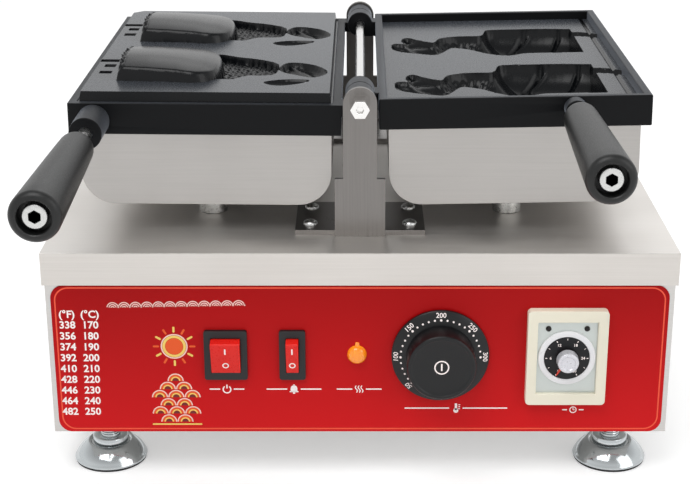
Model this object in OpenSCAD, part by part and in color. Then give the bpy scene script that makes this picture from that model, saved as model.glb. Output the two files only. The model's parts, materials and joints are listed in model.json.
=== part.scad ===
// Countertop fish-cake maker: a steel cabinet on four levelling feet carries two
// heated cast mould halves that swing about one shaft and open flat like a book.
// X runs along the front, Y runs from front to back, Z is up, sizes in millimetres.
// The origin is on the ground, under the middle of the whole machine's box.

/* [Cabinet] */
// Width over the top tray
cabinet_w = 373; // [350:1:420]
// Depth over the top tray
cabinet_d = 320; // [312:1:380]
// Height from the underside of the cabinet to the top of the tray
cabinet_h = 115.5; // [105:0.5:150]
// Sheet of the cabinet walls and of the floor plate
sheet_t = 1.2; // [0.8:0.1:2]
// Sheet of the top tray
tray_t = 1.5; // [1.2:0.1:2.5]
// Height of the tray's folded skirt
skirt_h = 20; // [12:1:24]
// Width of the flange folded in under the cabinet walls
flange_w = 16; // [12:1:20]
// Thickness of the printed front sheet
overlay_t = 0.8; // [0.4:0.1:1.1]
// Bare cabinet edge left beside the printed front sheet
overlay_margin = 3; // [1:0.5:6]
// Corner radius of the printed front sheet
overlay_r = 8; // [3:0.5:12]

/* [Feet] */
// Clear height under the cabinet
foot_h = 30; // [26:0.5:40]
// Diameter of the bell of a foot
bell_d = 45; // [38:0.5:52]
// Height of the bell of a foot
bell_h = 13; // [11:0.5:16]
// Diameter of the groove round the stud at the top of the bell
bell_neck_d = 21.5; // [18:0.5:26]
// Diameter of the levelling stud
stud_d = 12; // [8:0.5:14]
// Length of stud inside the cabinet with the foot screwed home
stud_in = 34; // [30:1:44]
// Height of the threaded insert that holds a stud
insert_h = 18; // [12:1:24]
// Distance of a foot from the side edge of the tray
foot_inset_x = 30.5; // [27:0.5:36]
// Distance of a foot from the front or rear edge of the tray
foot_inset_y = 27; // [26:0.5:36]
// Thickness of the rubber pad that shows under the bell
pad_t = 1.5; // [1:0.1:3]

/* [Hinge] */
// Height of the hinge axis above the tray
axis_h = 81.5; // [78:0.5:90]
// Diameter of the hinge shaft
shaft_d = 6; // [5:0.5:8]
// Radial running clearance of the shaft and of the other turning fits
run_gap = 0.05; // [0.02:0.01:0.1]
// Width of the upper strap of a bracket
strap_w = 20; // [18:0.5:26]
// Width of the lower part of a bracket
strap_low_w = 30; // [28:0.5:40]
// Height of the shoulder between the two widths
shoulder_h = 36; // [30:0.5:50]
// Plate thickness of a bracket
bracket_t = 3; // [2:0.1:4]
// Width of the foot of a bracket
bracket_foot_w = 78; // [74:1:90]
// Depth of the foot of a bracket
bracket_foot_d = 54; // [50:1:60]
// Spacing of the bracket screws across
screw_pitch_x = 60; // [56:1:62]
// Spacing of the bracket screws in depth
screw_pitch_y = 31; // [26:1:34]
// Diameter of the bracket screws
screw_d = 5; // [4:0.5:6]
// Width across flats of the long shaft nuts
shaft_nut_af = 10; // [10:0.5:14]
// Length of the long shaft nuts
shaft_nut_l = 14; // [12:0.5:18]
// Diameter of the hinge knuckles
knuckle_d = 17.5; // [15:0.5:19]
// Length of a hinge knuckle
knuckle_l = 15; // [10:0.5:18]
// Side gap between neighbouring knuckles
knuckle_gap = 0.4; // [0.3:0.1:1]
// Gap between a bracket and the mould halves
bracket_gap = 1.2; // [0.6:0.1:2]

/* [Mould halves] */
// Width of a mould half
half_w = 160; // [158:1:170]
// Depth of a mould half
half_d = 250; // [246:1:254]
// Distance of a mould half behind the front edge of the tray
half_front = 33.6; // [33:0.2:36]
// Distance of a mould half from the hinge axis
half_inset = 11; // [10:0.5:14]
// Height of the cast frame of a mould half
frame_h = 18.5; // [17:0.5:24]
// Width of the frame's rim
rim_w = 5; // [4:0.5:7]
// Width of the ledge inside the frame that carries the mould plate
ledge_w = 6; // [5:0.5:8]
// Thickness of that ledge
ledge_t = 5; // [3:0.5:7]
// Rim of the raised half, below the hinge axis
left_rim_drop = 1.9; // [1.5:0.1:2.5]
// Face of the raised half, above the hinge axis
plate_raise = 3.7; // [3:0.1:5]
// Gap between the closed faces
face_gap = 0.3; // [0.2:0.1:1]
// Gap round a mould plate in its frame
plate_gap = 0.15; // [0.1:0.05:0.3]
// Step between the rim of the raised half and its raised face
raise_step = 6; // [6:0.5:9]
// Underside of the raised plate, below the hinge axis
left_mould_drop = 24; // [22:0.5:34]
// Underside of the sunk plate, below the hinge axis
right_mould_drop = 31; // [29:0.5:34]
// Upward tilt of the left half as it lies on its posts
left_tilt = 0.5; // [0.3:0.1:1.2]
// Upward tilt of the right half as it lies on its posts
right_tilt = 1.0; // [0.3:0.1:1.2]

/* [Fish] */
// Spacing of the two fish
fish_pitch = 108; // [100:1:112]
// Distance of the mouth end of a fish from the hinge axis
mouth_u = 149; // [147:0.5:152]
// Width of the mouth pocket
mouth_w = 75; // [70:0.5:76]
// Depth of the mouth pocket below the recessed face
mouth_depth = 21; // [20:0.5:23]
// Width of the core that forms the mouth
core_w = 64; // [56:0.5:66]
// Length of the core
core_l = 64; // [58:0.5:66]
// Height of the core above the raised face
core_h = 15; // [10:0.5:16]
// How far the mouth and its core lie in front of the fish's own middle line
mouth_shift = 3.5; // [2:0.5:5]
// Depth of the belly
belly_depth = 18; // [14:0.5:20]
// Depth of the neck
neck_depth = 12; // [8:0.5:14]
// Depth of the tail
tail_depth = 8; // [5:0.5:9]

/* [Heaters and covers] */
// Diameter of the tubular heater
heater_d = 8; // [6:0.5:9]
// Spacing of the heater's legs
heater_pitch = 30; // [26:1:32]
// Length of each half left bare at either end of its heater
heater_margin = 31; // [28:1:40]
// Thickness of the plate that clamps the heater
clamp_t = 2; // [1.5:0.5:4]
// Underside of a heater cover, below the hinge axis
cover_drop = 65.1; // [60:0.5:68]
// Sheet of a heater cover
cover_t = 1.2; // [0.8:0.1:2]
// Radius of a cover's lower corners
cover_r = 20; // [12:1:24]
// Distance of a cover inside the frame's outline
cover_inset = 5.5; // [5:0.5:7]
// Diameter of the bolts that hold a cover
cover_bolt_d = 6; // [5:0.5:8]
// Distance of the cover bolts from the front and rear edges of a half
cover_bolt_inset = 66; // [62:1:75]

/* [Handles] */
// Length of a grip
grip_l = 124.5; // [110:0.5:140]
// Diameter of a grip at its free end
grip_big_d = 26.5; // [24:0.5:27]
// Diameter of a grip behind its shoulder
grip_small_d = 20; // [17:0.5:22]
// Length of a grip's rounded shoulder
shoulder_l = 10; // [8:0.5:14]
// Radius of the rounded free end of a grip
grip_end_r = 4; // [3:0.5:4.5]
// Diameter of the recess in the free end
grip_recess_d = 17.5; // [15:0.5:18]
// Depth of that recess
grip_recess_l = 8; // [7:0.5:12]
// Diameter of the grip bolt
grip_bolt_d = 8; // [6:0.5:9]
// Diameter of the head of the grip bolt
grip_head_d = 13; // [12:0.5:14]
// Height of the head of the grip bolt
grip_head_l = 6; // [4:0.5:7]
// Distance of the left handle from the hinge axis
left_handle_u = 156; // [154:0.5:158]
// Left handle below the hinge axis
left_handle_drop = 12; // [11:0.5:14]
// Far end of the left grip in front of the tray's front edge
left_grip_start = 19; // [12:0.5:26]
// Diameter of the left handle's boss
left_boss_d = 19; // [17:0.5:19.5]
// Length of the left handle's boss
left_boss_l = 30; // [20:0.5:32]
// Distance of the right handle from the hinge axis
right_handle_u = 125.5; // [123:0.5:127]
// Right handle below the hinge axis
right_handle_drop = 5; // [5:0.5:7]
// Far end of the right grip behind the tray's front edge
right_grip_start = 15; // [8:0.5:20]
// Diameter of the right handle's boss
right_boss_d = 13; // [12:0.5:13]
// Length of the right handle's boss
right_boss_l = 10; // [6:0.5:12]

/* [Rest posts] */
// Diameter of a rest post
post_d = 18; // [14:0.5:22]
// Distance of the rest posts from the hinge axis
post_u = 92; // [88:1:96]
// Distance of the rest posts from the front and rear edges of a half
post_inset = 47; // [40:1:50]
// Height of the rubber cap on a post
post_cap_h = 4; // [2:0.5:6]

/* [Controls] */
// Height of the row of controls below the tray's top
control_drop = 64; // [62:0.5:66]
// Place of the power switch along the front
power_x = -79.8; // [-84:0.2:-78]
// Width of the power switch
power_w = 25.6; // [24:0.2:27]
// Place of the alarm switch along the front
alarm_x = -40.2; // [-46:0.2:-38]
// Width of the alarm switch
alarm_w = 15.6; // [15:0.2:17]
// Height of both switches
switch_h = 31.5; // [30:0.5:33]
// Width of a switch's rim beside its rocker
switch_rim = 3.8; // [3.5:0.1:4]
// Rim above and below a rocker
switch_rim_z = 4.6; // [4:0.1:5]
// Swing of a rocker between off and on
rocker_swing = 18; // [12:1:20]
// Place of the pilot light along the front
pilot_x = -1.8; // [-8:0.2:4]
// Diameter of the pilot light
pilot_d = 11.5; // [9:0.5:14]
// Place of the temperature knob along the front
knob_x = 47.7; // [46:0.2:52]
// Diameter of the temperature knob's skirt
knob_skirt_d = 58; // [50:0.5:62]
// Diameter of the temperature knob's cap
knob_cap_d = 41; // [34:0.5:44]
// Reach of the temperature knob in front of the printed sheet
knob_reach = 21; // [18:0.5:26]
// Diameter of the thermostat spindle
spindle_d = 6; // [5:0.5:8]
// Place of the timer from the cabinet's right-hand side
timer_inset_x = 64; // [60:0.5:68]
// Width of the timer's bezel
timer_w = 47.6; // [46:0.2:52]
// Height of the timer's bezel
timer_h = 60.5; // [58:0.5:64]
// Reach of the timer's bezel in front of the printed sheet
timer_reach = 6; // [4:0.5:8]
// Width of the timer's window
window_w = 35.5; // [34.5:0.5:37]
// Height of the timer's window
window_h = 46; // [44:0.5:48]
// Diameter of the timer's dial
dial_d = 27; // [24:0.5:28]
// Diameter of the ring round the timer's dial
ring_d = 34; // [31:0.5:34]
// Diameter of the timer's knob
timer_knob_d = 13; // [10:0.5:16]

/* [Rear] */
// Distance of the cable gland from the right side of the tray
gland_inset_x = 66.5; // [46.5:1:96.5]
// Height of the cable gland above the cabinet's underside
gland_z = 30; // [26:1:50]
// Bore of the cable gland
gland_bore_d = 10; // [7:0.5:11]
// Reach of the cable gland behind the cabinet
gland_reach = 20; // [16:0.5:26]
// Thread diameter of the cable gland
gland_d = 20; // [16:0.5:22]

/* [Inside] */
// Width of the thermostat's body
thermostat_w = 44; // [36:1:50]
// Height of the thermostat's body
thermostat_h = 36; // [30:1:44]
// Depth of the thermostat's body
thermostat_l = 30; // [26:1:44]
// Diameter of the thermostat's collar behind the panel
collar_d = 18; // [14:0.5:22]
// Length of that collar
collar_l = 4; // [3:0.5:6]
// Depth of the timer's case behind the printed sheet
timer_case_l = 66; // [40:1:80]
// Width of the terminal block
terminal_w = 60; // [50:1:70]
// Depth of the terminal block
terminal_l = 18; // [14:0.5:24]
// Height of the terminal block
terminal_h = 20; // [16:0.5:26]
// Diameter of its wire holes
terminal_bore_d = 5; // [3:0.5:6]
// Distance between the middles of the terminal block and the cable gland
terminal_offset = 90; // [80:1:120]
// Diameter of the buzzer
buzzer_d = 23; // [18:0.5:24]
// Depth of the buzzer
buzzer_l = 10; // [8:0.5:14]
// Height of the buzzer above the row of controls
buzzer_rise = 30; // [28:0.5:32]

/* [Hidden] */
$fn = 48;
cut = 1;
seat_gap = 0.05;
rest_gap = 0.1;
insert_d = stud_d + 8;
tray_z = foot_h + cabinet_h;
hinge_z = tray_z + axis_h;
left_reach = left_grip_start + grip_l;
front_y = -(cabinet_d + gland_reach - left_reach) / 2;
body_w = cabinet_w - 2 * tray_t;
body_d = cabinet_d - 2 * tray_t;
gland_x = cabinet_w / 2 - gland_inset_x;
timer_x = cabinet_w / 2 - timer_inset_x;
control_z = tray_z - control_drop;
wall_y = front_y + tray_t;
rear_y = wall_y + body_d;
overlay_y = wall_y - overlay_t;
overlay_w = body_w - 2 * overlay_margin;
overlay_gap = 0.3;
overlay_top = tray_z - skirt_h - overlay_gap;
overlay_bottom = foot_h + overlay_gap;
left_rim_top = -left_rim_drop;
right_rim_top = left_rim_drop - face_gap;
left_face = plate_raise;
right_face = -plate_raise - face_gap;
half_mid = half_front + half_d / 2;
knuckle_start = half_front;
front_bracket_y = half_front - bracket_gap - bracket_t;
rear_bracket_y = 2 * half_mid - front_bracket_y;
screw_mid = bracket_t + bracket_foot_d / 2;
screw_head_d = 1.76 * screw_d;
screw_head_h = 0.6 * screw_d;
backing_t = 4;
heater_run = half_d - 2 * heater_margin;
heater_mid_u = half_inset + half_w / 2;
cover_head_h = 4;
bolt_in = 4;
fish_rows = [half_mid - fish_pitch / 2, half_mid + fish_pitch / 2];
feet = [["front_left", -1, -1], ["front_right", 1, -1], ["rear_left", -1, 1], ["rear_right", 1, 1]];
rocker_arc = switch_h / 2 - switch_rim_z - 0.3;
pivot_d = 2.4;
pivot_back = 1;
spindle_in = collar_l + 20;
spindle_end_gap = 4;
knob_clear = 0.8;
knob_roof = 6;
skirt_rim_t = 2.5;
skirt_rise = 2.2;
window_depth = 3.5;
face_t = 1;
ring_t = 1.6;
dial_t = 1.2;
lamp_d = 3.4;
lamp_x = 0.32 * window_w;
lamp_z = window_h / 2 - 4.6;
timer_spindle_d = 4;
timer_mid_z = control_z - 0.5;
window_y = overlay_y - timer_reach + window_depth;
dial_y = window_y - face_t - ring_t;

// A bar of round section along +Y that starts at the origin
module rod_y(d, l) {
    rotate([-90, 0, 0]) cylinder(d = d, h = l);
}

// A plate in the XZ plane with rounded corners, from y = 0 to y = t, centred on the Y axis
module plate_xz(w, h, r, t) {
    rotate([-90, 0, 0]) linear_extrude(height = t) rounded_square(w, h, r);
}

// A rectangle with rounded corners, made of true arcs
module rounded_square(w, h, r) {
    square([w - 2 * r, h], center = true);
    square([w, h - 2 * r], center = true);
    for (sx = [-1, 1], sy = [-1, 1])
        translate([sx * (w / 2 - r), sy * (h / 2 - r)]) circle(r = r);
}

// A pointed leaf of the given length and width, made of two arcs
module leaf(l, w) {
    r = (l * l + w * w) / (4 * w);
    intersection() {
        translate([0, r - w / 2]) circle(r = r, $fn = 120);
        translate([0, w / 2 - r]) circle(r = r, $fn = 120);
    }
}

// Puts a half's own space (u from the hinge axis, v behind the tray's front edge, w above the
// hinge axis) in its place: side is 1 on the right and -1 on the left
module on_half(side) {
    translate([0, front_y, hinge_z]) rotate([0, -side * tilt(side), 0]) {
        if (side > 0) children();
        else mirror([1, 0, 0]) children();
    }
}

// Cabinet: folded walls with a bottom flange and the cut-outs of the controls
module cabinet() {
    wall_h = cabinet_h - tray_t;
    color("silver") difference() {
        translate([-body_w / 2, wall_y, foot_h]) cube([body_w, body_d, wall_h]);
        translate([-body_w / 2 + sheet_t, wall_y + sheet_t, foot_h + 2 * sheet_t])
            cube([body_w - 2 * sheet_t, body_d - 2 * sheet_t, wall_h]);
        translate([-body_w / 2 + flange_w, wall_y + flange_w, foot_h - cut])
            cube([body_w - 2 * flange_w, body_d - 2 * flange_w, 4 * sheet_t + cut]);
        translate([-body_w / 2 + sheet_t, wall_y + sheet_t, foot_h - cut])
            cube([body_w - 2 * sheet_t, body_d - 2 * sheet_t, sheet_t + cut]);
        panel_cutouts(wall_y, sheet_t);
        at_feet() translate([0, 0, foot_h - cut]) cylinder(d = insert_d + 1, h = 4 * sheet_t);
        at_floor_screws() translate([0, 0, foot_h - cut]) cylinder(d = 3.4, h = 4 * sheet_t + cut);
        translate([gland_x, rear_y - sheet_t - cut, foot_h + gland_z])
            rod_y(gland_d + 0.4, 2 * cut + sheet_t);
    }
}

// The holes that the controls need in a front sheet
module panel_cutouts(y, t) {
    translate([0, y - cut, 0]) {
        for (s = [[power_x, power_w], [alarm_x, alarm_w]])
            translate([s[0] - s[1] / 2 + 1.3, 0, control_z - switch_h / 2 + 1.5])
                cube([s[1] - 2.6, t + 2 * cut, switch_h - 3]);
        translate([pilot_x, 0, control_z]) rod_y(pilot_d - 2, t + 2 * cut);
        translate([knob_x, 0, control_z]) rod_y(spindle_d + 4.2, t + 2 * cut);
        translate([timer_x - window_w / 2 - 1, 0, timer_mid_z - window_h / 2 - 1])
            cube([window_w + 2, t + 2 * cut, window_h + 2]);
    }
}

// Places children at the four feet
module at_feet() {
    for (f = feet) foot_place(f) children();
}

module foot_place(f) {
    mid_y = front_y + cabinet_d / 2;
    x = cabinet_w / 2 - foot_inset_x;
    y = cabinet_d / 2 - foot_inset_y;
    translate([f[1] * x, mid_y + f[2] * y, 0]) children();
}

// Places children at the screws of the floor plate
module at_floor_screws() {
    mid_y = front_y + cabinet_d / 2;
    x = cabinet_w / 2 - 2 * foot_inset_x;
    y = body_d / 2 - flange_w / 2 - 1;
    for (sx = [-1, 0, 1], sy = [-1, 1]) translate([sx * x, mid_y + sy * y, 0]) children();
}

// Top tray: the deck with its folded skirt
module top_tray() {
    color("gainsboro") difference() {
        translate([-cabinet_w / 2, front_y, tray_z - skirt_h]) cube([cabinet_w, cabinet_d, skirt_h]);
        translate([-body_w / 2, wall_y, tray_z - skirt_h - cut])
            cube([body_w, body_d, skirt_h - tray_t + cut]);
        at_bracket_screws() tray_hole();
        for (side = [-1, 1]) at_posts(side) tray_hole();
    }
}

// Hole through the tray for a screw or a post's stud
module tray_hole() {
    translate([0, 0, tray_z - tray_t - cut]) cylinder(d = screw_d + 2 * seat_gap, h = tray_t + 2 * cut);
}

// Printed front sheet that lies on the cabinet's front wall
module front_overlay() {
    h = overlay_top - overlay_bottom;
    color("crimson") difference() {
        translate([0, overlay_y, overlay_bottom + h / 2]) plate_xz(overlay_w, h, overlay_r, overlay_t);
        panel_cutouts(overlay_y, overlay_t);
    }
}

// Floor plate with rows of vent slots, inside the foot of the walls
module floor_plate() {
    w = body_w - 2 * sheet_t - 2 * seat_gap;
    d = body_d - 2 * sheet_t - 2 * seat_gap;
    mid_y = front_y + cabinet_d / 2;
    slot_w = 4;
    color("darkgray") difference() {
        translate([-w / 2, mid_y - d / 2, foot_h]) cube([w, d, sheet_t]);
        for (i = [-6:6], sy = [-1, 1])
            translate([i * 4 * slot_w - slot_w / 2, mid_y + sy * d / 5 - 25, foot_h - cut])
                cube([slot_w, 50, sheet_t + 2 * cut]);
        at_feet() translate([0, 0, foot_h - cut]) cylinder(d = stud_d + 3, h = sheet_t + 2 * cut);
        at_floor_screws() translate([0, 0, foot_h - cut]) cylinder(d = 3.1, h = sheet_t + 2 * cut);
    }
}

module floor_screws() {
    color("silver") at_floor_screws() {
        translate([0, 0, foot_h - 1.8]) cylinder(d = 6, h = 1.8);
        translate([0, 0, foot_h - 1.8]) cylinder(d = 3, h = 6);
    }
}

// Threaded inserts that take the studs of the feet
module foot_inserts() {
    color("dimgray") at_feet() translate([0, 0, foot_h + sheet_t]) difference() {
        cylinder(d = insert_d, h = insert_h);
        translate([0, 0, -cut]) cylinder(d = stud_d + 2 * run_gap, h = insert_h + 2 * cut);
    }
}

// One hinge bracket: an upright strap welded to the edge of a foot plate that runs towards +Y
module bracket() {
    top_r = strap_w / 2;
    color("lightgray") difference() {
        union() {
            translate([-strap_low_w / 2, 0, tray_z]) cube([strap_low_w, bracket_t, shoulder_h]);
            translate([-strap_w / 2, 0, tray_z]) cube([strap_w, bracket_t, axis_h]);
            translate([0, 0, hinge_z]) rod_y(2 * top_r, bracket_t);
            translate([-bracket_foot_w / 2, bracket_t, tray_z])
                cube([bracket_foot_w, bracket_foot_d, bracket_t]);
        }
        translate([0, -cut, hinge_z]) rod_y(shaft_d + 2 * seat_gap, bracket_t + 2 * cut);
        bracket_screw_grid() translate([0, 0, tray_z - cut])
            cylinder(d = screw_d + 2 * seat_gap, h = bracket_t + 2 * cut);
    }
}

// The four screw places of one bracket
module bracket_screw_grid() {
    for (sx = [-1, 1], sy = [-1, 1])
        translate([sx * screw_pitch_x / 2, screw_mid + sy * screw_pitch_y / 2, 0]) children();
}

// The places of both brackets
module at_brackets() {
    translate([0, front_y + front_bracket_y, 0]) children();
    translate([0, front_y + rear_bracket_y, 0]) mirror([0, 1, 0]) children();
}

module at_bracket_screws() {
    at_brackets() bracket_screw_grid() children();
}

module front_bracket() {
    translate([0, front_y + front_bracket_y, 0]) bracket();
}

module rear_bracket() {
    translate([0, front_y + rear_bracket_y, 0]) mirror([0, 1, 0]) bracket();
}

// Bars under the tray that the bracket screws are threaded into
module backing_bars() {
    color("dimgray") at_brackets() difference() {
        translate([-bracket_foot_w / 2, bracket_t, tray_z - tray_t - backing_t])
            cube([bracket_foot_w, bracket_foot_d, backing_t]);
        bracket_screw_grid() translate([0, 0, tray_z - tray_t - backing_t - cut])
            cylinder(d = screw_d + 2 * seat_gap, h = backing_t + 2 * cut);
    }
}

module bracket_screws() {
    color("silver") at_bracket_screws() difference() {
        union() {
            translate([0, 0, tray_z + bracket_t]) cylinder(d = screw_head_d, h = screw_head_h);
            translate([0, 0, tray_z - tray_t - backing_t - 2])
                cylinder(d = screw_d, h = bracket_t + tray_t + backing_t + 2 + cut);
        }
        translate([0, 0, tray_z + bracket_t + 0.4 * screw_head_h])
            cylinder(d = 0.55 * screw_d, h = screw_head_h, $fn = 6);
    }
}

// Hinge shaft from nut to nut
module hinge_shaft() {
    start = front_bracket_y - shaft_nut_l / 2;
    stop = rear_bracket_y + shaft_nut_l / 2;
    color("white") translate([0, front_y + start, hinge_z]) rod_y(shaft_d, stop - start);
}

// Long nuts on both ends of the shaft, each with a socket in its free end
module shaft_nuts() {
    color("silver") at_brackets() translate([0, -shaft_nut_l, hinge_z]) difference() {
        rotate([-90, 0, 0]) cylinder(d = shaft_nut_af / cos(30), h = shaft_nut_l, $fn = 6);
        translate([0, shaft_nut_l / 2 - seat_gap, 0]) rod_y(shaft_d + 2 * seat_gap, shaft_nut_l);
        translate([0, -cut, 0]) rotate([-90, 0, 0]) cylinder(d = 4.6, h = 3 + cut, $fn = 6);
    }
}

// Tilt of a half at rest
function tilt(side) = side > 0 ? right_tilt : left_tilt;

// Height of the top of a rest post, just under the lower edge of the tilted cover above it
function post_top(side) =
    hinge_z + (post_u - post_d / 2) * sin(tilt(side)) - cover_drop * cos(tilt(side)) - rest_gap;

// Places children at the two posts of one side
module at_posts(side) {
    for (sy = [-1, 1])
        translate([side * post_u, front_y + half_mid + sy * (half_d / 2 - post_inset), 0]) children();
}

// Posts that the open halves lie on, each with a stud through the tray
module rest_posts() {
    color("dimgray") for (side = [-1, 1]) at_posts(side) {
        translate([0, 0, tray_z]) cylinder(d = post_d, h = post_top(side) - tray_z - post_cap_h);
        translate([0, 0, tray_z - tray_t - 6]) cylinder(d = screw_d, h = 6 + tray_t + cut);
    }
}

module post_caps() {
    color("black") for (side = [-1, 1]) at_posts(side)
        translate([0, 0, post_top(side) - post_cap_h]) cylinder(d = post_d, h = post_cap_h);
}

// Housing of a rocker switch of the given width
module switch_housing(x, w) {
    h = switch_h;
    pocket_w = w - 2 * switch_rim;
    pocket_h = h - 2 * switch_rim_z;
    rim_t = 2.5;
    color("black") translate([x, overlay_y, control_z]) difference() {
        union() {
            translate([0, -rim_t, 0]) plate_xz(w, h, 1.5, rim_t);
            translate([-w / 2 + 1.4, 0, -h / 2 + 1.6]) cube([w - 2.8, 20, h - 3.2]);
            for (sz = [-1, 0, 1]) translate([-2.4, 20, sz * 8 - 0.4]) cube([4.8, 8, 0.8]);
        }
        translate([-pocket_w / 2, -rim_t - cut, -pocket_h / 2])
            cube([pocket_w, rim_t + 12 + cut, pocket_h]);
        translate([-w / 2 + 1.4 + 0.8, pivot_back, 0]) rotate([0, 90, 0])
            cylinder(d = pivot_d + 2 * run_gap, h = w - 4.4);
    }
}

// Rocker of a switch, shown switched off with its upper end out
module switch_rocker(x, w) {
    body = w - 2 * switch_rim - 0.5;
    pin = w - 4.6;
    color("red") translate([x, overlay_y + pivot_back, control_z]) rotate([rocker_swing / 2, 0, 0]) {
        translate([-body / 2, 0, 0]) rotate([90, 0, 90]) linear_extrude(height = body) rocker_side();
        translate([-pin / 2, 0, 0]) rotate([0, 90, 0]) cylinder(d = pivot_d, h = pin);
    }
}

// Side view of a rocker: a shallow crest in front, arcs at both ends
module rocker_side() {
    intersection() {
        circle(r = rocker_arc, $fn = 96);
        polygon([[-4.4, -rocker_arc], [-6.4, 0], [-4.4, rocker_arc], [6, rocker_arc], [6, -rocker_arc]]);
    }
}

module power_housing() {
    switch_housing(power_x, power_w);
}

module power_rocker() {
    switch_rocker(power_x, power_w);
}

module alarm_housing() {
    switch_housing(alarm_x, alarm_w);
}

module alarm_rocker() {
    switch_rocker(alarm_x, alarm_w);
}

// Pilot light: a holder behind the panel and a domed lens with a small tab above it
module pilot_holder() {
    color("black") translate([pilot_x, wall_y + sheet_t, control_z]) {
        rod_y(pilot_d + 3, 3);
        translate([0, 3, 0]) rod_y(pilot_d - 2.5, 16);
    }
}

module pilot_lens() {
    dome_l = 3.5;
    color("orange") translate([pilot_x, overlay_y, control_z]) {
        translate([0, -1, 0]) rod_y(pilot_d, 1);
        translate([0, -1, 0]) rotate([90, 0, 0]) rotate_extrude()
            intersection() {
                translate([0, -pilot_d / 2 + dome_l]) circle(r = pilot_d / 2);
                square([pilot_d / 2, dome_l]);
            }
        rod_y(pilot_d - 2.4, overlay_t + sheet_t);
        translate([-1.1, -1, pilot_d / 2 - 0.4]) cube([2.2, 1, 1.8]);
    }
}

// Thermostat with its threaded neck through the panel
module thermostat() {
    color("gray") translate([knob_x, wall_y + sheet_t, control_z]) difference() {
        union() {
            translate([-thermostat_w / 2, collar_l, -thermostat_h / 2])
                cube([thermostat_w, thermostat_l, thermostat_h]);
            translate([0, -sheet_t - overlay_t, 0])
                rod_y(spindle_d + 4, sheet_t + overlay_t + collar_l);
            rod_y(collar_d, collar_l);
        }
        translate([0, -sheet_t - overlay_t - cut, 0])
            rod_y(spindle_d + 2 * run_gap, sheet_t + overlay_t + spindle_in + cut);
    }
}

module temperature_spindle() {
    front = knob_reach - knob_roof;
    color("silver") translate([knob_x, overlay_y - front, control_z])
        rod_y(spindle_d, front + overlay_t + sheet_t + spindle_in - spindle_end_gap);
}

// Numbered skirt of the temperature knob
module temperature_skirt() {
    color("black") translate([knob_x, overlay_y - knob_clear, control_z]) rotate([90, 0, 0])
        difference() {
            union() {
                cylinder(d = knob_skirt_d, h = skirt_rim_t);
                translate([0, 0, skirt_rim_t]) cylinder(d1 = knob_skirt_d, d2 = knob_cap_d, h = skirt_rise);
            }
            translate([0, 0, -cut])
                cylinder(d = spindle_d + 2 * seat_gap, h = skirt_rim_t + skirt_rise + 2 * cut);
        }
}

// Smooth round grip of the temperature knob, with a dished face inside its rim
module temperature_cap() {
    base = knob_clear + skirt_rim_t + skirt_rise;
    tall = knob_reach - base;
    lip = 1.5;
    color("black") translate([knob_x, overlay_y - base, control_z]) rotate([90, 0, 0]) difference() {
        union() {
            cylinder(d = knob_cap_d, h = tall - lip);
            translate([0, 0, tall - lip]) cylinder(d1 = knob_cap_d, d2 = knob_cap_d - lip, h = lip);
        }
        translate([0, 0, -cut]) cylinder(d = spindle_d + 2 * seat_gap, h = tall - knob_roof + cut);
        translate([0, 0, tall - lip]) cylinder(d1 = knob_cap_d - 16, d2 = knob_cap_d - 6, h = lip);
        translate([0, 0, tall]) cylinder(d = knob_cap_d - 6, h = cut);
    }
}

// Timer: a bezel with its case behind it, a face plate, a dial, lamps and a knob with a pointer
module timer_case() {
    color("ivory") translate([timer_x, overlay_y, timer_mid_z]) difference() {
        union() {
            translate([0, -timer_reach, 0]) plate_xz(timer_w, timer_h, 2.5, timer_reach);
            translate([-window_w / 2 - 0.8, 0, -window_h / 2 - 0.8])
                cube([window_w + 1.6, timer_case_l, window_h + 1.6]);
        }
        translate([-window_w / 2, -timer_reach - cut, -window_h / 2])
            cube([window_w, window_depth + cut, window_h]);
        translate([0, -timer_reach, 0]) rod_y(timer_spindle_d + 2 * run_gap, timer_reach + 14);
    }
}

module timer_face() {
    color("silver") translate([timer_x, window_y, timer_mid_z]) difference() {
        union() {
            translate([0, -face_t / 2, 0])
                cube([window_w - 2 * seat_gap, face_t, window_h - 2 * seat_gap], center = true);
            translate([0, -face_t - ring_t, 0]) rod_y(ring_d, ring_t + seat_gap);
        }
        translate([0, -face_t - ring_t - cut, 0]) rod_y(dial_d + 2 * seat_gap, dial_t + cut);
        translate([0, -face_t - ring_t, 0]) rod_y(timer_spindle_d + 2 * run_gap, face_t + ring_t + cut);
        for (sx = [-1, 1]) translate([sx * lamp_x, -face_t - cut, lamp_z])
            rod_y(lamp_d + 2 * seat_gap, face_t + 2 * cut);
    }
}

module timer_dial() {
    color("black") translate([timer_x, dial_y, timer_mid_z]) difference() {
        rod_y(dial_d, dial_t);
        translate([0, -cut, 0]) rod_y(timer_spindle_d + 2 * run_gap, dial_t + 2 * cut);
    }
}

module timer_lamps() {
    color("darkred") for (sx = [-1, 1])
        translate([timer_x + sx * lamp_x, window_y, timer_mid_z + lamp_z]) rotate([90, 0, 0]) {
            cylinder(d = lamp_d, h = face_t + 0.6);
            translate([0, 0, face_t + 0.6]) cylinder(d1 = lamp_d, d2 = 0.6 * lamp_d, h = 0.8);
        }
}

module timer_knob() {
    color("silver") translate([timer_x, dial_y, timer_mid_z]) {
        translate([0, -8, 0]) rod_y(timer_knob_d, 6.2);
        translate([0, -3, 0]) rod_y(timer_spindle_d, 14);
    }
}

module timer_pointer() {
    color("orangered") translate([timer_x, dial_y - 0.6, timer_mid_z]) rotate([90, 210, 0])
        linear_extrude(height = 1) difference() {
            union() {
                circle(d = timer_knob_d + 4);
                polygon([[-2, 0], [2, 0], [0, dial_d / 2 - 1.5]]);
            }
            circle(d = timer_spindle_d + 2 * seat_gap);
        }
}

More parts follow.
